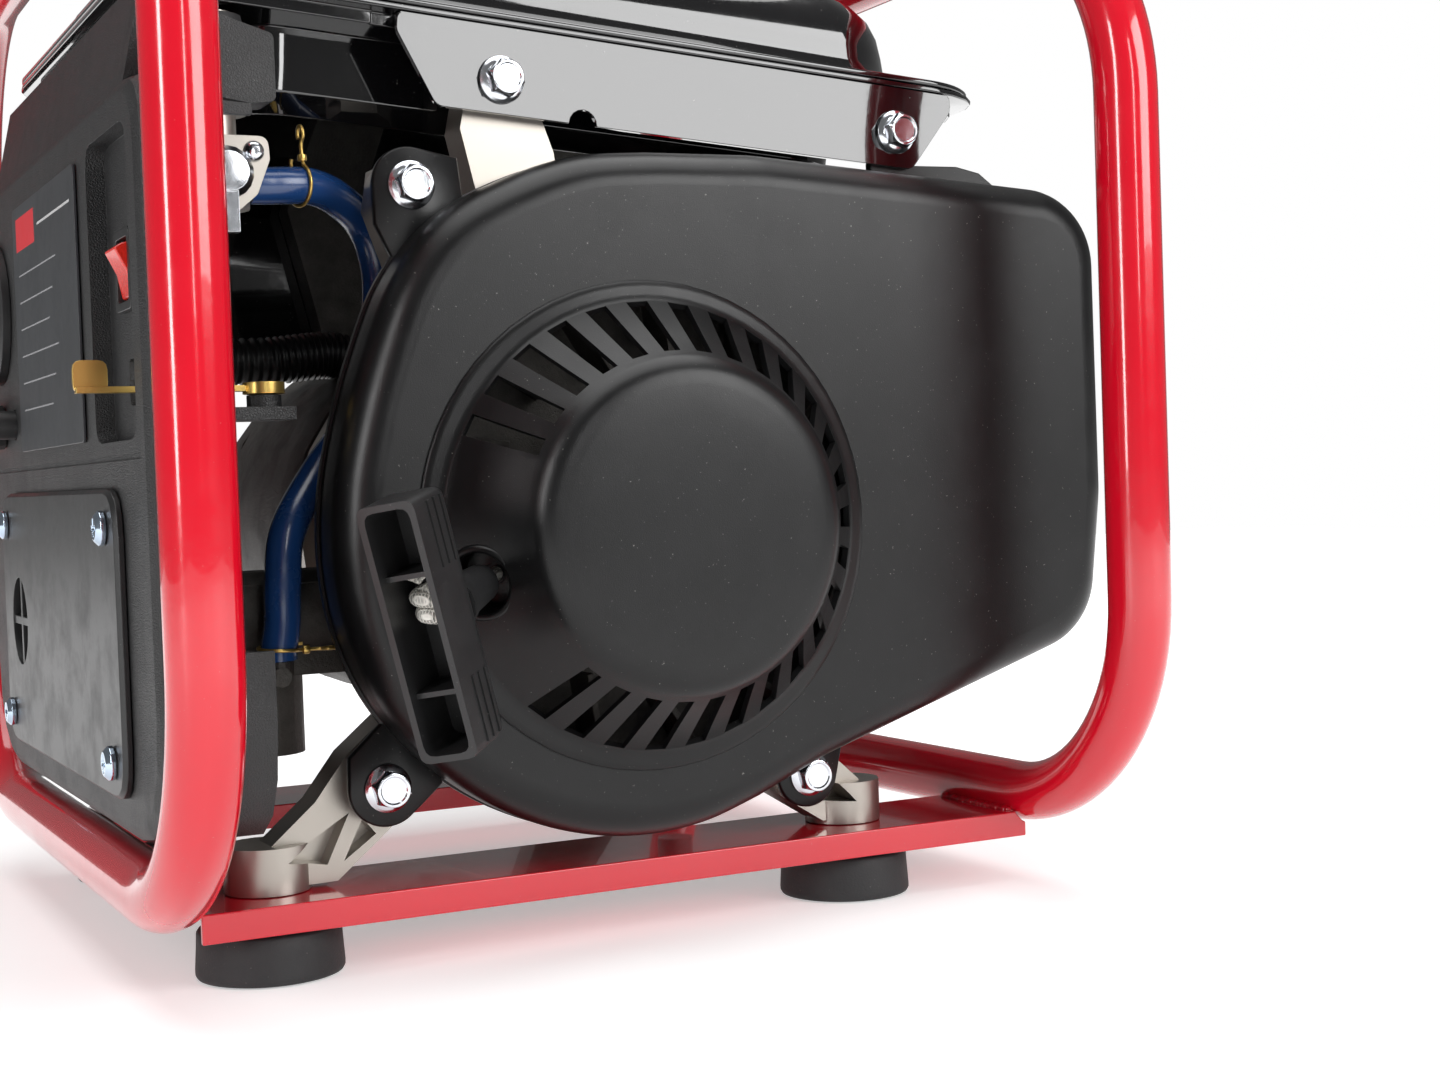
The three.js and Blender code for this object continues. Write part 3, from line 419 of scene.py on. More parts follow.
def weigh_normals(ob):
    weigh = ob.modifiers.new("weigh", "WEIGHTED_NORMAL")
    weigh.keep_sharp = True
    return apply_modifiers(ob)


def thicken(ob, thickness):
    sheet = ob.modifiers.new("sheet", "SOLIDIFY")
    sheet.thickness, sheet.offset = thickness, -1.0
    return apply_modifiers(ob)


def done(ob, body="root", replaces=()):
    """Puts a finished piece on its body and hides the CAD nodes it stands for."""
    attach(ob, body)
    if replaces:
        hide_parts(*replaces)
    return ob


def refined(cad_node, material, body="root", width=None, segments=2, angle=35.0, slot=None):
    """The CAD solid of a node as a visible piece, with its edges rounded and shaded."""
    bm = bmesh.new()
    bm.from_mesh(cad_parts[cad_node].data)
    bmesh.ops.remove_doubles(bm, verts=bm.verts, dist=2e-6)
    bmesh.ops.dissolve_limit(bm, angle_limit=math.radians(1.2), verts=bm.verts, edges=bm.edges)
    mesh = bpy.data.meshes.new(cad_node + "_skin")
    bm.to_mesh(mesh)
    bm.free()
    ob = link_piece(cad_node + "_skin", mesh, material)
    round_edges(ob, settings().edge_round if width is None else width, segments, angle)
    return done(ob, body, [cad_node])


def grid_faces(rows, columns, wrap=True, start=0):
    faces = []
    for r in range(rows - 1):
        for c in range(columns if wrap else columns - 1):
            d = (c + 1) % columns
            a, b = start + r * columns, start + (r + 1) * columns
            faces.append((a + c, a + d, b + d, b + c))
    return faces


def turned(name, profile, origin, direction, material, segments=64, smooth=50.0):
    """A lathe piece: (radius, height) pairs in millimetres about an axis."""
    direction = Vector(direction).normalized()
    side = direction.orthogonal().normalized()
    other = direction.cross(side)
    verts, loops = [], []
    for r, h in profile:
        ring = []
        count = segments if r > 1e-6 else 1
        for k in range(count):
            a = 2 * math.pi * k / segments
            offset = (side * math.cos(a) + other * math.sin(a)) * r + direction * h
            ring.append(len(verts))
            verts.append(Vector(origin) + offset * MM)
        loops.append(ring)
    faces = []
    for low, high in zip(loops, loops[1:]):
        for k in range(segments):
            n = (k + 1) % segments
            quad = [low[k % len(low)], low[n % len(low)], high[n % len(high)], high[k % len(high)]]
            quad = list(dict.fromkeys(quad))
            if len(quad) > 2:
                faces.append(quad)
    return new_piece(name, verts, faces, material, smooth)


def tube(name, points, radius, material, sides=24, closed=False, normal=None, squash=None):
    """A round bar along points in metres.

    radius may be a function of the ring number, and squash(i) may flatten a ring.
    """
    n = len(points)
    verts = []
    up = normal
    for i, p in enumerate(points):
        before = points[(i - 1) % n if closed else max(i - 1, 0)]
        after = points[(i + 1) % n if closed else min(i + 1, n - 1)]
        along = (after - before).normalized()
        if up is None:
            up = along.orthogonal()
        up = (up - along * up.dot(along)).normalized()
        side = along.cross(up)
        flat = squash(i) if squash else 1.0
        r = radius(i) if callable(radius) else radius
        for k in range(sides):
            a = 2 * math.pi * k / sides
            verts.append(p + up * (r * math.cos(a)) + side * (r * flat * math.sin(a)))
    faces = grid_faces(n, sides)
    if closed:
        last = (n - 1) * sides
        faces += [(last + k, last + (k + 1) % sides, (k + 1) % sides, k) for k in range(sides)]
    else:
        faces.append(tuple(reversed(range(sides))))
        faces.append(tuple(range((n - 1) * sides, n * sides)))
    ob = new_piece(name, verts, faces, material, 50.0)
    mend_normals(ob)
    return ob


def mend_normals(ob):
    bm = bmesh.new()
    bm.from_mesh(ob.data)
    bmesh.ops.recalc_face_normals(bm, faces=bm.faces)
    bm.to_mesh(ob.data)
    bm.free()
    return ob


def smooth_curve(points, count):
    """Catmull-Rom through the points, evenly stepped."""
    out = []
    spans = len(points) - 1
    for i in range(count + 1):
        t = spans * i / count
        k = min(int(t), spans - 1)
        t -= k
        p0, p1 = points[max(k - 1, 0)], points[k]
        p2, p3 = points[k + 1], points[min(k + 2, spans)]
        out.append(0.5 * ((2 * p1) + (p2 - p0) * t + (2 * p0 - 5 * p1 + 4 * p2 - p3) * t * t
                          + (3 * p1 - p0 - 3 * p2 + p3) * t * t * t))
    return out


def rounded(corners, radius, steps=10):
    """A closed outline with each corner rounded; corners are (u, v) or (u, v, radius)."""
    loop = []
    count = len(corners)
    for i, corner in enumerate(corners):
        p = Vector(corner[:2])
        r = corner[2] if len(corner) > 2 else radius
        if not r:
            loop.append(p)
            continue
        a = Vector(corners[i - 1][:2]) - p
        b = Vector(corners[(i + 1) % count][:2]) - p
        half = a.angle(b) / 2
        reach = min(r / math.tan(half), 0.49 * a.length, 0.49 * b.length)
        bisector = (a.normalized() + b.normalized()).normalized()
        true_r = reach * math.tan(half)
        hub = p + bisector * (true_r / math.sin(half))
        start = p + a.normalized() * reach - hub
        end = p + b.normalized() * reach - hub
        sweep = start.angle_signed(end)
        for k in range(steps + 1):
            turn = Matrix.Rotation(-sweep * k / steps, 2)
            loop.append(hub + turn @ start)
    return loop


def inset(loop, depth):
    """A counter-clockwise outline moved inward."""
    out = []
    n = len(loop)
    for i, p in enumerate(loop):
        along = (loop[(i + 1) % n] - loop[i - 1]).normalized()
        out.append(Vector((p.x - along.y * depth, p.y + along.x * depth)))
    return out


def counter_clockwise(loop):
    area = sum(a.x * b.y - b.x * a.y for a, b in zip(loop, loop[1:] + loop[:1]))
    return loop if area > 0 else loop[::-1]


def lofted(name, levels, to_point, material, smooth=50.0, cap_low=True, cap_high=True):
    """Outlines (loop, w) stacked into a skin, with optional flat caps."""
    n = len(levels[0][0])
    verts = [to_point(p.x, p.y, w) for loop, w in levels for p in loop]
    faces = grid_faces(len(levels), n)
    if cap_low:
        faces.append(tuple(reversed(range(n))))
    if cap_high:
        faces.append(tuple(range((len(levels) - 1) * n, len(levels) * n)))
    return new_piece(name, verts, faces, material, smooth)


def on_x(u, v, w):
    return place(w, u, v)


def on_tank(u, v, w):
    """A point of the tilted tank: u across, v along, w up from the seam."""
    c, s = math.cos(TILT), math.sin(TILT)
    return place(u, v * c - w * s, SEAM + v * s + w * c)


# ---- frame pieces

def hoop_points(y, high_z, low_z, half_x, bend, steps=22):
    """The centre line of a hoop, and how strongly each point is bent, from 0 to 1."""
    hubs = [(bend - half_x, low_z + bend), (half_x - bend, low_z + bend),
            (half_x - bend, high_z - bend), (bend - half_x, high_z - bend)]
    points, bent = [], []
    for i, (hx, hz) in enumerate(hubs):
        for k in range(steps + 1):
            a = math.pi + (i + k / steps) * math.pi / 2
            points.append(Vector((hx + bend * math.cos(a), y, hz + bend * math.sin(a))))
            bent.append(math.sin(math.pi * k / steps))
        nx, nz = hubs[(i + 1) % 4]
        a = math.pi + (i + 1) * math.pi / 2
        here = points[-1]
        there = Vector((nx + bend * math.cos(a), y, nz + bend * math.sin(a)))
        for k in range(1, 5):
            points.append(here.lerp(there, k / 5))
            bent.append(0.0)
    return points, bent


def make_hoop(cad_node):
    s = settings()
    low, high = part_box(cad_node)
    middle = centre(cad_node)
    cad_radius, flattening = 0.0100, 0.035
    points, bent = hoop_points(middle.y, high[2] - cad_radius, low[2] + cad_radius,
                               high[0] - cad_radius, s.bend_radius)
    ob = tube(cad_node + "_tube", points, s.tube_radius, MATS["enamel"], s.tube_sides,
              closed=True, normal=Y, squash=lambda i: 1.0 - flattening * bent[i])
    done(ob, "root", [cad_node])


def make_welds():
    """Short ripples of weld metal where the rails meet the hoops."""
    hoop_y, tube_side, weld_z = 145.8, 9.0, 24.1
    first_x, run, beads = 73, 38, 26
    rings, around = 6, 8
    verts, faces = [], []
    for side in (1, -1):
        for y_sign in (1, -1):
            for k in range(beads):
                t = k / (beads - 1)
                x = side * (first_x + run * t)
                r = 1.15 + 0.25 * math.sin(k * 1.9)
                hub = place(x, y_sign * hoop_y - y_sign * tube_side, weld_z)
                start = len(verts)
                for i in range(rings):
                    for j in range(around):
                        polar, turn = math.pi * (i + 0.5) / rings, 2 * math.pi * j / around
                        verts.append(hub + Vector((
                            math.sin(polar) * math.cos(turn) * 1.3,
                            math.sin(polar) * math.sin(turn) * 1.6,
                            math.cos(polar))) * r * MM)
                faces += grid_faces(rings, around, True, start)
                faces.append(tuple(start + j for j in range(around)))
                faces.append(tuple(start + rings * around - 1 - j for j in range(around)))
    ob = new_piece("weld_beads", verts, faces, MATS["enamel"], 80)
    mend_normals(ob)
    done(ob)


def make_foot(cad_node):
    low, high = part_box(cad_node)
    c = centre(cad_node)
    origin = Vector((c.x, c.y, low[2]))
    top = (high[2] - low[2]) / MM
    profile = [(0, 0), (19.6, 0), (20.9, 0.35), (21.4, 1.2), (21.45, 2.2), (21.0, 9),
               (20.8, 13.2), (20.2, 14.1), (19.3, 14.5), (19.2, 16), (19.2, top), (0, top)]
    ob = turned(cad_node + "_moulding", profile, origin, Z, MATS["rubber"], 72)
    mend_normals(ob)
    done(ob, "root", [cad_node])


# ---- fasteners

def hex_radius(angle, across):
    step = math.pi / 3
    a = (angle % step) - step / 2
    return across / 2 / math.cos(a)


def make_flange_bolt(cad_node, direction, seat, body="root"):
    """A hexagon flange bolt: rows of circles (c), hexagon shares (h) and circles in it (r)."""
    rows = [("c", 7.1, 0.0), ("c", 7.15, 0.5), ("c", 7.0, 0.95), ("c", 6.4, 1.4),
            ("c", 5.9, 1.75), ("h", 0.985, 2.0), ("h", 1.0, 2.3), ("h", 1.0, 4.9),
            ("h", 0.99, 5.3), ("r", 5.15, 5.8), ("r", 4.9, 6.15), ("r", 4.5, 6.3),
            ("r", 4.1, 6.25), ("r", 3.7, 5.9), ("r", 1.5, 5.8), ("r", 0.01, 5.8)]
    sides = 72
    direction = Vector(direction).normalized()
    flat = direction.orthogonal().normalized()
    other = direction.cross(flat)
    verts = []
    for kind, value, height in rows:
        for k in range(sides):
            a = 2 * math.pi * k / sides
            r = value
            if kind == "h":
                r = hex_radius(a, 10.0) * value
            elif kind == "r":
                r = min(value, hex_radius(a, 9.9))
            verts.append(seat + ((flat * math.cos(a) + other * math.sin(a)) * r
                                 + direction * height) * MM)
    ob = new_piece(cad_node + "_bolt", verts, grid_faces(len(rows), sides), MATS["zinc"], 28)
    mend_normals(ob)
    done(ob, body, [cad_node])


def seat_of(cad_node, direction):
    """The centre of a fastener's seat, from its box."""
    low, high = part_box(cad_node)
    c = centre(cad_node)
    d = Vector(direction)
    half = Vector([(h - l) / 2 for l, h in zip(low, high)])
    return c - Vector([d[i] * half[i] for i in range(3)])


# ---- starter cover

COVER_HUB_Z = 126
# The volute as (degrees from +Y, radius), then the duct's corners as (y, z, rounding).
VOLUTE = ((88, 112), (100, 111.5), (112, 110.5), (124, 110), (136, 106), (148, 100.5),
          (160, 97.5), (172, 96.8), (184, 97), (196, 97.5), (208, 97.5), (220, 96.8),
          (232, 95.8), (244, 95), (256, 94.5), (268, 94), (280, 93.5), (292, 93))
DUCT = ((60, 50.5, 40), (163.5, 84, 26), (169, 130, 60), (168.5, 230, 26), (40, 238.5, 60))


def cover_outline():
    points = [Vector((r * math.cos(math.radians(a)),
                      COVER_HUB_Z + r * math.sin(math.radians(a)), 0)) for a, r in VOLUTE]
    volute = [p.xy for p in smooth_curve(points, 110)]
    ends = [tuple(volute[-1]) + (0,), *DUCT, tuple(volute[0]) + (0,)]
    duct = rounded(ends, 0, 16)[1:-1]
    return counter_clockwise(volute + duct)


def make_cover_shell():
    """The pressed shell: a flange, a wall and a rounded shoulder round the crown's hole."""
    loop = cover_outline()
    depth, reach, crown_hole, hole_sides = 11.3, 12.3, 71.6, 96
    levels = [(inset(loop, 0.1), 104.05), (loop, 104.6), (loop, 106.4), (inset(loop, 0.7), 106.9),
              (inset(loop, 0.7), 108.0), (inset(loop, 0.2), 112.0), (inset(loop, 0.2), 119.2)]
    for k in range(1, 11):
        t = k / 10 * math.pi / 2
        levels.append((inset(loop, 0.2 + depth * (1 - math.cos(t))), 119.2 + reach * math.sin(t)))
    ob = lofted("cover_shell", levels, on_x, MATS["satin"], 60, cap_low=False, cap_high=False)
    bm = bmesh.new()
    bm.from_mesh(ob.data)
    bm.verts.ensure_lookup_table()
    n = len(loop)
    rim = [bm.verts[(len(levels) - 1) * n + k] for k in range(n)]
    hole = []
    for k in range(hole_sides):
        a = 2 * math.pi * k / hole_sides
        hole.append(bm.verts.new(on_x(SHAFT.y + crown_hole * math.cos(a),
                                      SHAFT.z + crown_hole * math.sin(a), levels[-1][1])))
    edges = []
    for ring in (rim, hole):
        for a, b in zip(ring, ring[1:] + ring[:1]):
            edges.append(bm.edges.get((a, b)) or bm.edges.new((a, b)))
    bmesh.ops.triangle_fill(bm, use_beauty=True, use_dissolve=False, edges=edges)
    bmesh.ops.recalc_face_normals(bm, faces=bm.faces)
    bm.to_mesh(ob.data)
    bm.free()
    shade(ob.data, 60)
    thicken(ob, 0.0018)
    shade(ob.data, 30)
    weigh_normals(ob)
    done(ob, "root", ["starter_cover"])


def make_crown():
    """The slotted cone and its plain dome, one polar grid with the slots left out."""
    slots, first, span = 25, 152.0, 280.0
    slot_width, flare, dome_radius, cone_radius = 5.1, 1.7, 50.0, 66.0
    columns = []                     # (centre angle, side: -1, 1 slot edges, 0 plain)
    for k in range(slots):
        a = math.radians(first - k * span / (slots - 1))
        columns += [(a, 1), (a, -1)]
    gap_from, gap_to = first - span, first - 360.0
    for k in range(1, 17):
        columns.append((math.radians(gap_from + (gap_to - gap_from) * k / 17), 0))
    rows = [(72.4, 131.1), (72.5, 132.2), (71.9, 133.0), (70.4, 133.5), (68.4, 133.9),
            (66.9, 134.5), (66.0, 135.4), (60.5, 142.4), (55.0, 149.6), (50.3, 155.9),
            (49.0, 158.4), (47.8, 160.2), (46.0, 161.8), (43.6, 162.9), (40.0, 163.5),
            (32.0, 163.9), (20.0, 164.1), (8.0, 164.2)]
    cut_from, cut_to = 6, 9
    verts = []
    for r, x in rows:
        held = max(r, dome_radius)
        width = slot_width + flare * (min(held, cone_radius) - dome_radius) / (
            cone_radius - dome_radius)
        for middle, side in columns:
            a = middle + side * math.asin(width / 2 / held)
            verts.append(place(x, SHAFT.y + r * math.cos(a), SHAFT.z + r * math.sin(a)))
    n = len(columns)
    faces = []
    for i in range(len(rows) - 1):
        for c in range(n):
            d = (c + 1) % n
            in_slot = columns[c][1] == 1 and columns[d][1] == -1
            if in_slot and cut_from <= i < cut_to:
                continue
            faces.append((i * n + c, i * n + d, (i + 1) * n + d, (i + 1) * n + c))
    faces.append(tuple((len(rows) - 1) * n + c for c in range(n)))
    ob = new_piece("cover_crown", verts, faces, MATS["satin"], 60)
    mend_normals(ob)
    thicken(ob, 0.0019)
    cutter = turned("cut_collar", [(0, -14), (9.9, -14), (9.9, 14), (0, 14)],
                    place(*GUIDE), PULL, MATS["satin"], 48)
    mend_normals(cutter)
    hole = ob.modifiers.new("mouth", "BOOLEAN")
    hole.operation, hole.solver, hole.object = "DIFFERENCE", "EXACT", cutter
    apply_modifiers(ob)
    bpy.data.objects.remove(cutter)
    round_edges(ob, 0.00045, 2, 40.0)
    done(ob)


def make_collar():
    """The lipped cup that the rope and the knot sit in."""
    profile = [(0, -10.6), (8.0, -10.6), (11.0, -9.6), (11.0, 1.6), (10.8, 2.5), (10.2, 3.0),
               (9.6, 3.0), (9.0, 2.6), (8.7, 1.8), (8.7, -8.2), (7.9, -9.0), (3.2, -9.0),
               (3.0, -9.4), (0, -9.4)]
    ob = turned("rope_collar", profile, place(*GUIDE), PULL, MATS["satin"], 72)
    mend_normals(ob)
    done(ob)


def make_ears():
    """The three bolt ears on the cover's back flange."""
    shapes = [((-79, 52.4), 11.4, ((-90, 62), (-62, 52), (-60, 90))),
              ((-64.9, 227.4), 11.4, ((-76, 216), (-50, 236), (-46, 200), (-66, 196))),
              ((62, 43), 10.8, ((50, 52), (76, 56)))]
    for number, (hub, r, base) in enumerate(shapes):
        ring = [Vector((hub[0] + r * math.cos(t), hub[1] + r * math.sin(t)))
                for t in (2 * math.pi * k / 56 for k in range(56))]
        every = ring + [Vector(b) for b in base]
        loop = counter_clockwise([every[i] for i in geometry.convex_hull_2d(every)])
        ob = lofted(f"cover_ear_{number + 1}", [(inset(loop, 0.6), 104.0), (loop, 104.6),
                                                (loop, 106.4), (inset(loop, 0.6), 107.05)],
                    on_x, MATS["satin"], 60)
        mend_normals(ob)
        done(ob)


# ---- starter grip

def make_grip():
    """The grip, and a straight rope that runs between the reel's side and the knot."""
    refined("starter_handle", MATS["plastic"], "starter_grip", 0.0007, 3, 40.0)
    steps = 90
    start = GUIDE - PULL * 12.6
    low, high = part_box("starter_rope")
    length = (Vector(high) - Vector(low)).length / MM - 3.2
    points = [place(*(start + PULL * (length * k / steps))) for k in range(steps + 1)]
    rope = tube("starter_rope_line", points, 0.0022, MATS["rope"], 20)
    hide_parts("starter_rope")
    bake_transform(rope)
    make_knot()


def make_knot():
    """A tied rope end: a turn of rope with a frayed tuft standing out of it."""
    c = centre("rope_knot")
    up = Vector((0.05, -0.20, 0.97)).normalized()
    side = up.cross(PULL).normalized()
    turn = []
    for k in range(61):
        t = k / 60
        a = t * 4.3 * math.pi
        r = 2.6 + 0.5 * math.sin(a * 1.5)
        turn.append(c + (side * (r * math.cos(a)) + PULL * (0.7 * r * math.sin(a))
                         + up * (-4.6 + 9.0 * t)) * MM)
    ob = tube("rope_knot_turns", turn, 0.0021, MATS["rope"], 14)
    done(ob, "starter_grip", ["rope_knot"])
    tip = c + up * 0.0052 - side * 0.0015
    for k in range(11):
        a = k * 2.399
        lean = (side * math.cos(a) + PULL * (0.6 * math.sin(a) + 0.3)) * 0.0016 * (1 + k % 3)
        path = [tip + lean * (t / 6) * (1 + t / 8) + up * (0.0006 * t) - side * 0.0002 * t
                for t in range(7)]
        strand = tube(f"rope_strand_{k + 1}", path, 0.00045, MATS["rope"], 8)
        done(strand, "starter_grip")


# ---- tank

def tank_plan(half, front, rear, r):
    return rounded([(-half, front), (half, front), (half, rear), (-half, rear)], r, 14)


def make_tank():
    """The upper shell; its wall is (inset, height) pairs above the seam flange."""
    wall = [(0.0, 2.45), (0.5, 3.2), (1.4, 4.8), (2.2, 7.5), (2.9, 12), (4.2, 18), (6.6, 23.5),
            (10.5, 28.2), (16, 31.8), (24, 34.4), (34, 35.9), (48, 36.5)]
    levels = [(tank_plan(104 - d, -142 + d, 146 - d, 26 - d), w)
              for d, w in ((0.5, 0.15), (0.05, 0.5), (0.0, 1.1), (0.05, 1.8), (0.6, 2.2),
                           (4.6, 2.35))]
    levels += [(tank_plan(98 - k, -133 + k, 119 - k * 0.9, max(26 - k * 0.1, 8)), w)
               for k, w in wall]
    ob = lofted("tank_upper_shell", levels, on_tank, MATS["gloss"], 50)
    mend_normals(ob)
    done(ob, "root", ["tank_upper"])
    refined("tank_lower", MATS["gloss"], width=0.0006)
    refined("fuel_cap", MATS["plastic"], "tank_cap", 0.0008, 3)


def make_brackets():
    for side in ("right", "left"):
        refined(f"tank_bracket_{side}", MATS["gloss"], width=0.0005, segments=3)
        direction = X if side == "right" else -X
        for end in ("front", "rear"):
            name = f"bracket_bolt_{side}_{end}"
            make_flange_bolt(name, direction, seat_of(name, direction))


# ---- fuel line

def make_fuel_line():
    refined("fuel_tap", MATS["alloy"], width=0.0004)
    refined("fuel_tap_lever", MATS["zinc"], "tap_lever", 0.0005, 3)
    route = [(90, -107.6, 228.2), (90, -102, 228.3), (89.6, -95.5, 228.7), (87, -89, 229),
             (80, -80, 227.5), (73, -70, 222), (70, -64.5, 213), (69.5, -63, 198), (70, -68, 168),
             (75, -86, 145), (83, -98.5, 128), (84, -101, 113), (84, -101.6, 101),
             (84, -103, 92.5), (84, -103, 89.8)]
    points = smooth_curve([place(*p) for p in route], 160)
    hose = tube("fuel_hose_line", points, 0.0054, MATS["hose"], 32)
    done(hose, "root", ["fuel_hose"])
    for number, (at, along) in enumerate((((88.7, -92.6, 229.0), (-0.25, 0.97, 0.05)),
                                          ((84, -103, 93.5), (0, 0, -1)))):
        make_clip(f"hose_clip_{number + 1}", place(*at), Vector(along).normalized())
    boot = turned("tap_boot", [(6.2, 0), (8.6, 0), (9.0, 0.6), (9.0, 22), (8.4, 24.6), (6.2, 24.6),
                               (6.2, 0)], place(92, -117.5, 251.0), Z, MATS["rubber"], 48)
    mend_normals(boot)
    done(boot)
    screw = turned("tap_screw", [(0, -0.3), (2.8, -0.3), (3.0, 0.2), (2.7, 0.9), (1.9, 1.5),
                                 (1.0, 1.75), (0.9, 1.3), (0, 1.2)],
                   place(102.0, -109.2, 236.2), X, MATS["zinc"], 40)
    mend_normals(screw)
    done(screw)


def make_clip(name, at, along):
    """A sprung wire clip: a turn round the hose, two tails and a looped end."""
    wire, turn = 0.00055, 0.0060
    side = along.cross(Z if abs(along.z) < 0.7 else Y).normalized()
    up = side.cross(along).normalized()
    path = []
    for k in range(41):
        a = 0.62 * math.pi + 1.76 * math.pi * k / 40
        path.append(at + (side * math.cos(a) + up * math.sin(a)) * turn
                    + along * (0.0016 * (k / 40 - 0.5)))
    last = path[-1]
    neck = last + up * 0.0022 - side * 0.0006
    loop = [neck, neck + up * 0.004]
    for k in range(13):
        a = -0.15 * math.pi + 1.35 * math.pi * k / 12
        loop.append(neck + up * 0.0070 + (side * math.cos(a) * 0.0015
                                          + up * math.sin(a) * 0.0022))
    first = path[0]
    tail = [first + up * 0.0022 + side * 0.0004, first + up * 0.0010]
    ob = tube(name, smooth_curve(tail + path[::4] + [last] + loop, 150), wire,
              MATS["yellow_zinc"], 10)
    done(ob)
    band = turned(name + "_nip", [(0.0, -0.9), (1.25, -0.9), (1.35, -0.5), (1.35, 0.5),
                                  (1.25, 0.9), (0.0, 0.9)], neck, up, MATS["yellow_zinc"], 24)
    done(band)


def make_lead_sleeve():
    """The ribbed sleeve that takes the stator's leads to the back of the panel."""
    route = [(-60, -122, 192), (-60, -104, 190), (-60, -84, 187), (-60, -64, 187),
             (-60, -50, 188.5), (-60, -39, 189), (-60, -30, 186)]
    points = smooth_curve([place(*p) for p in route], 132)
    ob = tube("stator_lead_sleeve", points, lambda i: 0.0088 if i % 4 < 2 else 0.0079,
              MATS["plastic"], 28)
    done(ob)


# ---- panel

def make_panel():
    """The moulding and its fittings, as material, body, edge width, segments and angle."""
    fittings = {
        "control_panel": ("grain", "root", 0.0009, 3, 35.0),
        "rocker_bezel": ("plastic", "root", 0.0004, 2, 35.0),
        "rocker_switch": ("red_plastic", "rocker", 0.0006, 3, 30.0),
        "choke_lever": ("yellow_zinc", "choke", 0.0004, 2, 35.0),
        "filter_cover": ("plastic", "root", 0.0006, 3, 35.0),
        "data_plate": ("label", "root", 0.0002, 2, 35.0),
        "ac_socket": ("plastic", "root", 0.0005, 2, 35.0),
        "dc_terminal_plus": ("red_plastic", "terminal_plus", 0.0007, 3, 20.0),
        "dc_terminal_minus": ("plastic", "terminal_minus", 0.0007, 3, 20.0),
        "breaker_button": ("plastic", "breaker", 0.0005, 2, 35.0),
        "air_filter_box": ("plastic", "root", 0.0008, 2, 35.0),
    }
    for name, (material, *shape) in fittings.items():
        refined(name, MATS[material], *shape)
    for number in range(1, 5):
        refined(f"cover_screw_{number}", MATS["blue_zinc"], width=0.00025, angle=25.0)


# ---- stage

LIGHTS = (                           # name, place, aim, width, height, power
    ("top_softbox", (0.0, 0.1, 1.9), (0, 0, 0.1), 2.0, 2.0, 36),
    ("right_softbox", (1.72, 1.0, 0.97), (0.1, 0.05, 0.26), 1.1, 1.2, 27),
    ("left_strip", (0.75, -1.6, 0.7), (0.1, -0.1, 0.15), 0.25, 1.2, 13),
    ("front_strip", (1.75, -0.15, 0.75), (0.1, -0.1, 0.15), 0.12, 0.9, 3),
)
CAMERA_AT = (684.5, -267.8, 139.6)
CAMERA_TURN = (62.506, 1.759, -1.966)                # azimuth, pitch and roll in degrees
CAMERA_LENS = 51.76
FLOOR_HALF = 2.6
FLOOR_Z = -0.0002


def make_light(name, location, target, width, height, energy):
    data = bpy.data.lights.new(name, "AREA")
    data.shape = "RECTANGLE"
    data.size, data.size_y = width, height
    data.energy = energy
    ob = bpy.data.objects.new(name, data)
    bpy.context.scene.collection.objects.link(ob)
    ob.location = location
    ob.rotation_euler = (Vector(target) - Vector(location)).to_track_quat("-Z", "Y").to_euler()


def make_stage():
    bpy.context.scene.view_settings.view_transform = "Standard"
    corners = [(x * FLOOR_HALF, y * FLOOR_HALF, FLOOR_Z)
               for x, y in ((-1, -1), (1, -1), (1, 1), (-1, 1))]
    floor = new_piece("floor", corners, [(0, 1, 2, 3)], floor_material(), 30)
    world = bpy.data.worlds.new("studio")
    bpy.context.scene.world = world
    world.use_nodes = True
    tree = world.node_tree
    background = tree.nodes["Background"]
    background.inputs["Color"].default_value = (1, 1, 1, 1)
    seen = node(tree, "ShaderNodeLightPath")
    level = node(tree, "ShaderNodeMapRange")
    level.inputs["To Min"].default_value = 0.16
    level.inputs["To Max"].default_value = 1.0
    link(tree, seen.outputs["Is Camera Ray"], level.inputs["Value"])
    link(tree, level.outputs["Result"], background.inputs["Strength"])
    for row in LIGHTS:
        make_light(*row)
    make_camera()


def make_camera():
    """The camera at the main viewing angle, with its roll."""
    data = bpy.data.cameras.new("camera")
    data.sensor_width, data.lens = 36.0, CAMERA_LENS
    data.clip_start = 0.02
    camera = bpy.data.objects.new("camera", data)
    bpy.context.scene.collection.objects.link(camera)
    azimuth, pitch, roll = (math.radians(a) for a in CAMERA_TURN)
    look = Vector((-math.sin(azimuth) * math.cos(pitch), math.cos(azimuth) * math.cos(pitch),
                   -math.sin(pitch)))
    right = Vector((math.cos(azimuth), math.sin(azimuth), 0))
    above = right.cross(look)
    across = right * math.cos(roll) + above * math.sin(roll)
    rise = -right * math.sin(roll) + above * math.cos(roll)
    camera.matrix_world = Matrix.Translation(place(*CAMERA_AT)) @ Matrix(
        (across, rise, -look)).transposed().to_4x4()
    bpy.context.scene.camera = camera


def painted_floor_glow(tree, where, base):
    """Painted light: a glow that lifts the floor to white away from the object, as a lit sweep
    does.
    """
    far = node(tree, "ShaderNodeVectorMath", operation="LENGTH")
    link(tree, where, far.inputs[0])
    shader = tree.nodes["Principled BSDF"]
    link(tree, spread(tree, far.outputs["Value"], 0.25, 1.3, 0.40, 0.95),
         shader.inputs["Emission Color"])
    return base


def floor_material():
    # The floor glows by its own emission, rising with distance from the object: painted light.
    return finish("pale_floor", (0.80, 0.80, 0.80), 0.6, scale=60.0, bump=0.02, depth=0.0005,
                  tone=0.01, vary=0.05, specular=0.1, paint=painted_floor_glow, Emission_Strength=1.0)


# ---- operators

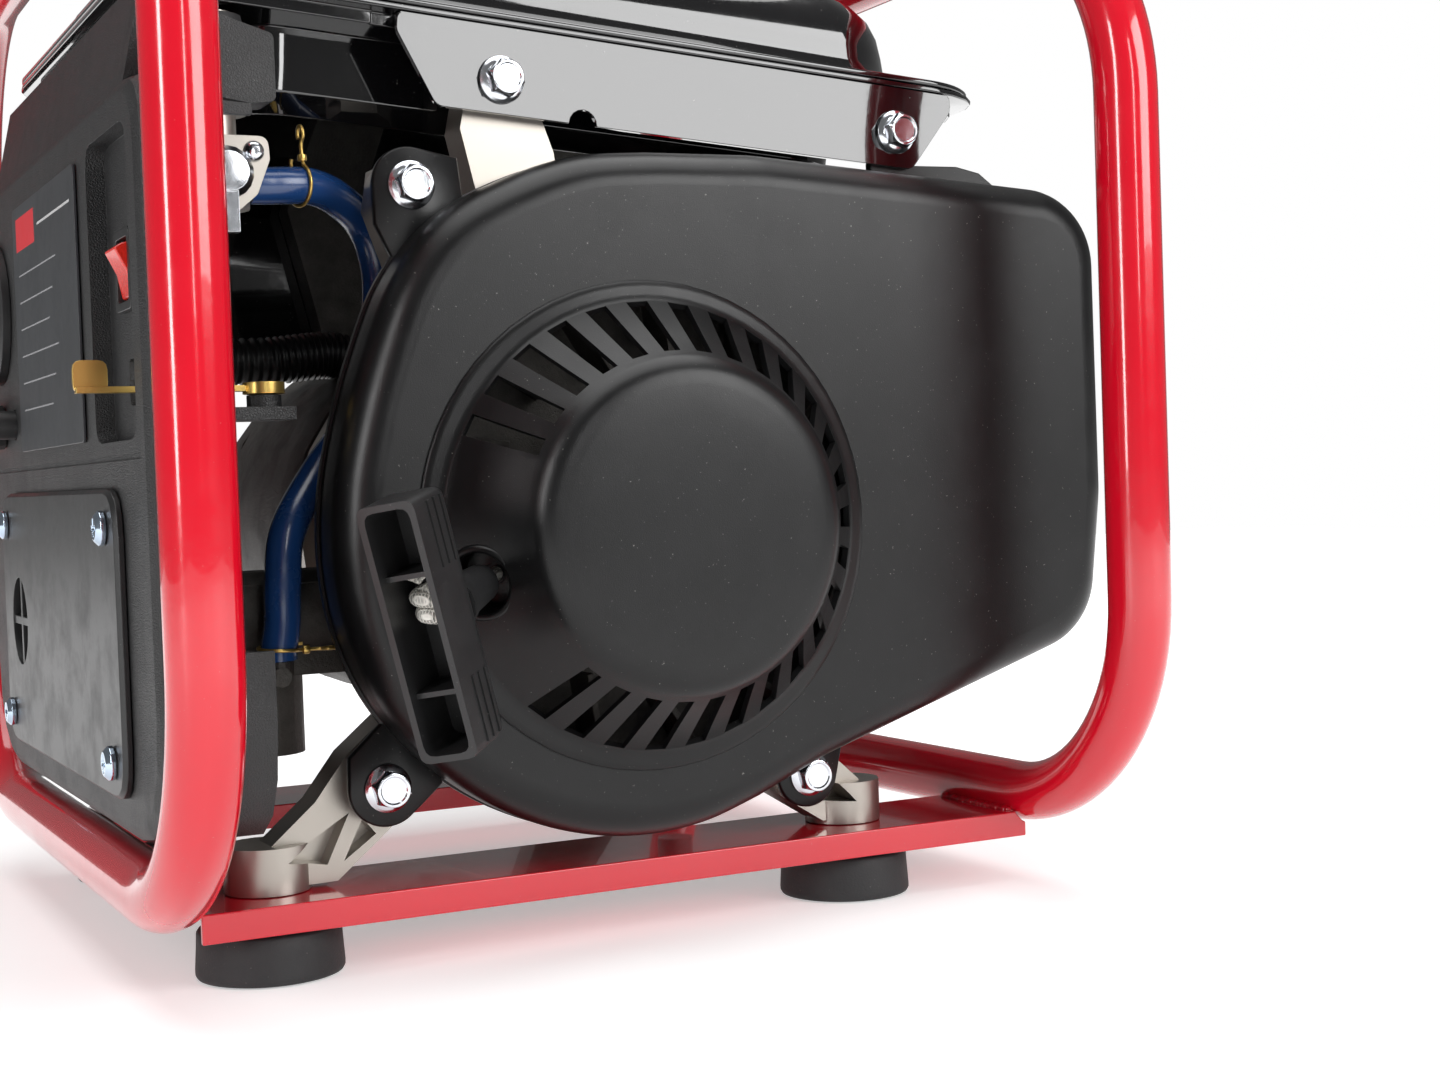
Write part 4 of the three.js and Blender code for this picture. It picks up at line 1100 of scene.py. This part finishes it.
class BuildStep:
    bl_options = {"REGISTER", "UNDO"}

    def execute(self, context):
        if not MATS:
            MATS.update(make_materials())
        self.build()
        return {"FINISHED"}


class GENERATOR_OT_stage(BuildStep, bpy.types.Operator):
    """Make the floor, the lights and the camera"""
    bl_idname = "generator.stage"
    bl_label = "Stage"

    def build(self):
        make_stage()


class GENERATOR_OT_hoops(BuildStep, bpy.types.Operator):
    """Make the two tubular hoops and the weld beads"""
    bl_idname = "generator.hoops"
    bl_label = "Hoops"

    def build(self):
        for name in ("front_hoop", "rear_hoop"):
            make_hoop(name)
        make_welds()


class GENERATOR_OT_base(BuildStep, bpy.types.Operator):
    """Make the rails and the rubber feet"""
    bl_idname = "generator.base"
    bl_label = "Rails and feet"

    def build(self):
        for side in ("right", "left"):
            refined(f"rail_{side}", MATS["enamel"], width=0.0005, segments=3)
            for end in ("front", "rear"):
                make_foot(f"rubber_foot_{side}_{end}")


class GENERATOR_OT_engine(BuildStep, bpy.types.Operator):
    """Make the engine's castings and its cowl"""
    bl_idname = "generator.engine"
    bl_label = "Engine"

    def build(self):
        refined("crankcase", MATS["alloy"], width=0.0009, segments=3, angle=30)
        # The cylinder, head and carburettor take the darker alloy copy: painted shade.
        for name, finish_name, width in (
                ("cylinder", "shade_darkened_alloy", 0.0003), ("cylinder_head", "shade_darkened_alloy", 0.0003),
                ("spark_plug", "ceramic", 0.0003), ("plug_cap", "rubber", 0.0005),
                ("cylinder_cowl", "satin", 0.0005), ("carburettor", "shade_darkened_alloy", 0.0006),
                ("muffler", "stove", 0.0008), ("muffler_guard", "satin", 0.0003)):
            refined(name, MATS[finish_name], width=width)


class GENERATOR_OT_rotating(BuildStep, bpy.types.Operator):
    """Make the crankshaft, fan and starter reel"""
    bl_idname = "generator.rotating"
    bl_label = "Rotating parts"

    def build(self):
        refined("crankshaft", MATS["steel"], "shaft_line", 0.0005)
        # The fan takes the darker alloy copy: painted shade.
        refined("flywheel_fan", MATS["shade_darkened_alloy"], "shaft_line", 0.0004)
        refined("alternator_rotor", MATS["copper"], "shaft_line", 0.0005)
        refined("starter_reel", MATS["steel"], "reel", 0.0004)


class GENERATOR_OT_cover(BuildStep, bpy.types.Operator):
    """Make the starter cover, its slotted crown, collar, ears and bolts"""
    bl_idname = "generator.cover"
    bl_label = "Starter cover"

    def build(self):
        make_cover_shell()
        make_crown()
        make_collar()
        make_ears()
        for name in ("cover_bolt_low_front", "cover_bolt_high_front", "cover_bolt_low_rear"):
            make_flange_bolt(name, X, seat_of(name, X))


class GENERATOR_OT_grip(BuildStep, bpy.types.Operator):
    """Make the starter grip, its rope and knot"""
    bl_idname = "generator.grip"
    bl_label = "Starter grip"

    def build(self):
        make_grip()


class GENERATOR_OT_alternator(BuildStep, bpy.types.Operator):
    """Make the alternator's housing, stator and end cover"""
    bl_idname = "generator.alternator"
    bl_label = "Alternator"

    def build(self):
        refined("alternator_stator", MATS["steel"], width=0.0004)
        # The housing and end cover take the darker alloy copy: painted shade.
        refined("alternator_housing", MATS["shade_darkened_alloy"], width=0.0008, segments=3)
        refined("alternator_end_cover", MATS["shade_darkened_alloy"], width=0.0006)
        make_lead_sleeve()


class GENERATOR_OT_tank(BuildStep, bpy.types.Operator):
    """Make the tank, its cap and its brackets"""
    bl_idname = "generator.tank"
    bl_label = "Tank"

    def build(self):
        make_tank()
        make_brackets()


class GENERATOR_OT_fuel(BuildStep, bpy.types.Operator):
    """Make the fuel tap, hose and clips"""
    bl_idname = "generator.fuel"
    bl_label = "Fuel line"

    def build(self):
        make_fuel_line()


class GENERATOR_OT_panel(BuildStep, bpy.types.Operator):
    """Make the control panel and its fittings"""
    bl_idname = "generator.panel"
    bl_label = "Control panel"

    def build(self):
        make_panel()


STEPS = (GENERATOR_OT_stage, GENERATOR_OT_hoops, GENERATOR_OT_base, GENERATOR_OT_engine,
         GENERATOR_OT_rotating, GENERATOR_OT_cover, GENERATOR_OT_grip, GENERATOR_OT_alternator,
         GENERATOR_OT_tank, GENERATOR_OT_fuel, GENERATOR_OT_panel)


class GENERATOR_PT_panel(bpy.types.Panel):
    """Lists the build steps in the sidebar"""
    bl_label = "Generator"
    bl_idname = "GENERATOR_PT_panel"
    bl_space_type = "VIEW_3D"
    bl_region_type = "UI"
    bl_category = "Generator"

    def draw(self, context):
        layout = self.layout
        for name in GeneratorSettings.__annotations__:
            layout.prop(context.scene.generator_settings, name)
        for step in STEPS:
            layout.operator(step.bl_idname)


CLASSES = (GeneratorSettings, *STEPS, GENERATOR_PT_panel)


def register():
    for cls in CLASSES:
        bpy.utils.register_class(cls)
    bpy.types.Scene.generator_settings = bpy.props.PointerProperty(type=GeneratorSettings)


def unregister():
    del bpy.types.Scene.generator_settings
    for cls in reversed(CLASSES):
        bpy.utils.unregister_class(cls)


def main():
    register()
    for step in STEPS:
        area, name = step.bl_idname.split(".")
        result = getattr(getattr(bpy.ops, area), name)()
        if result != {"FINISHED"}:
            raise RuntimeError(f"{step.bl_idname} did not finish")


if __name__ == "__main__":
    main()
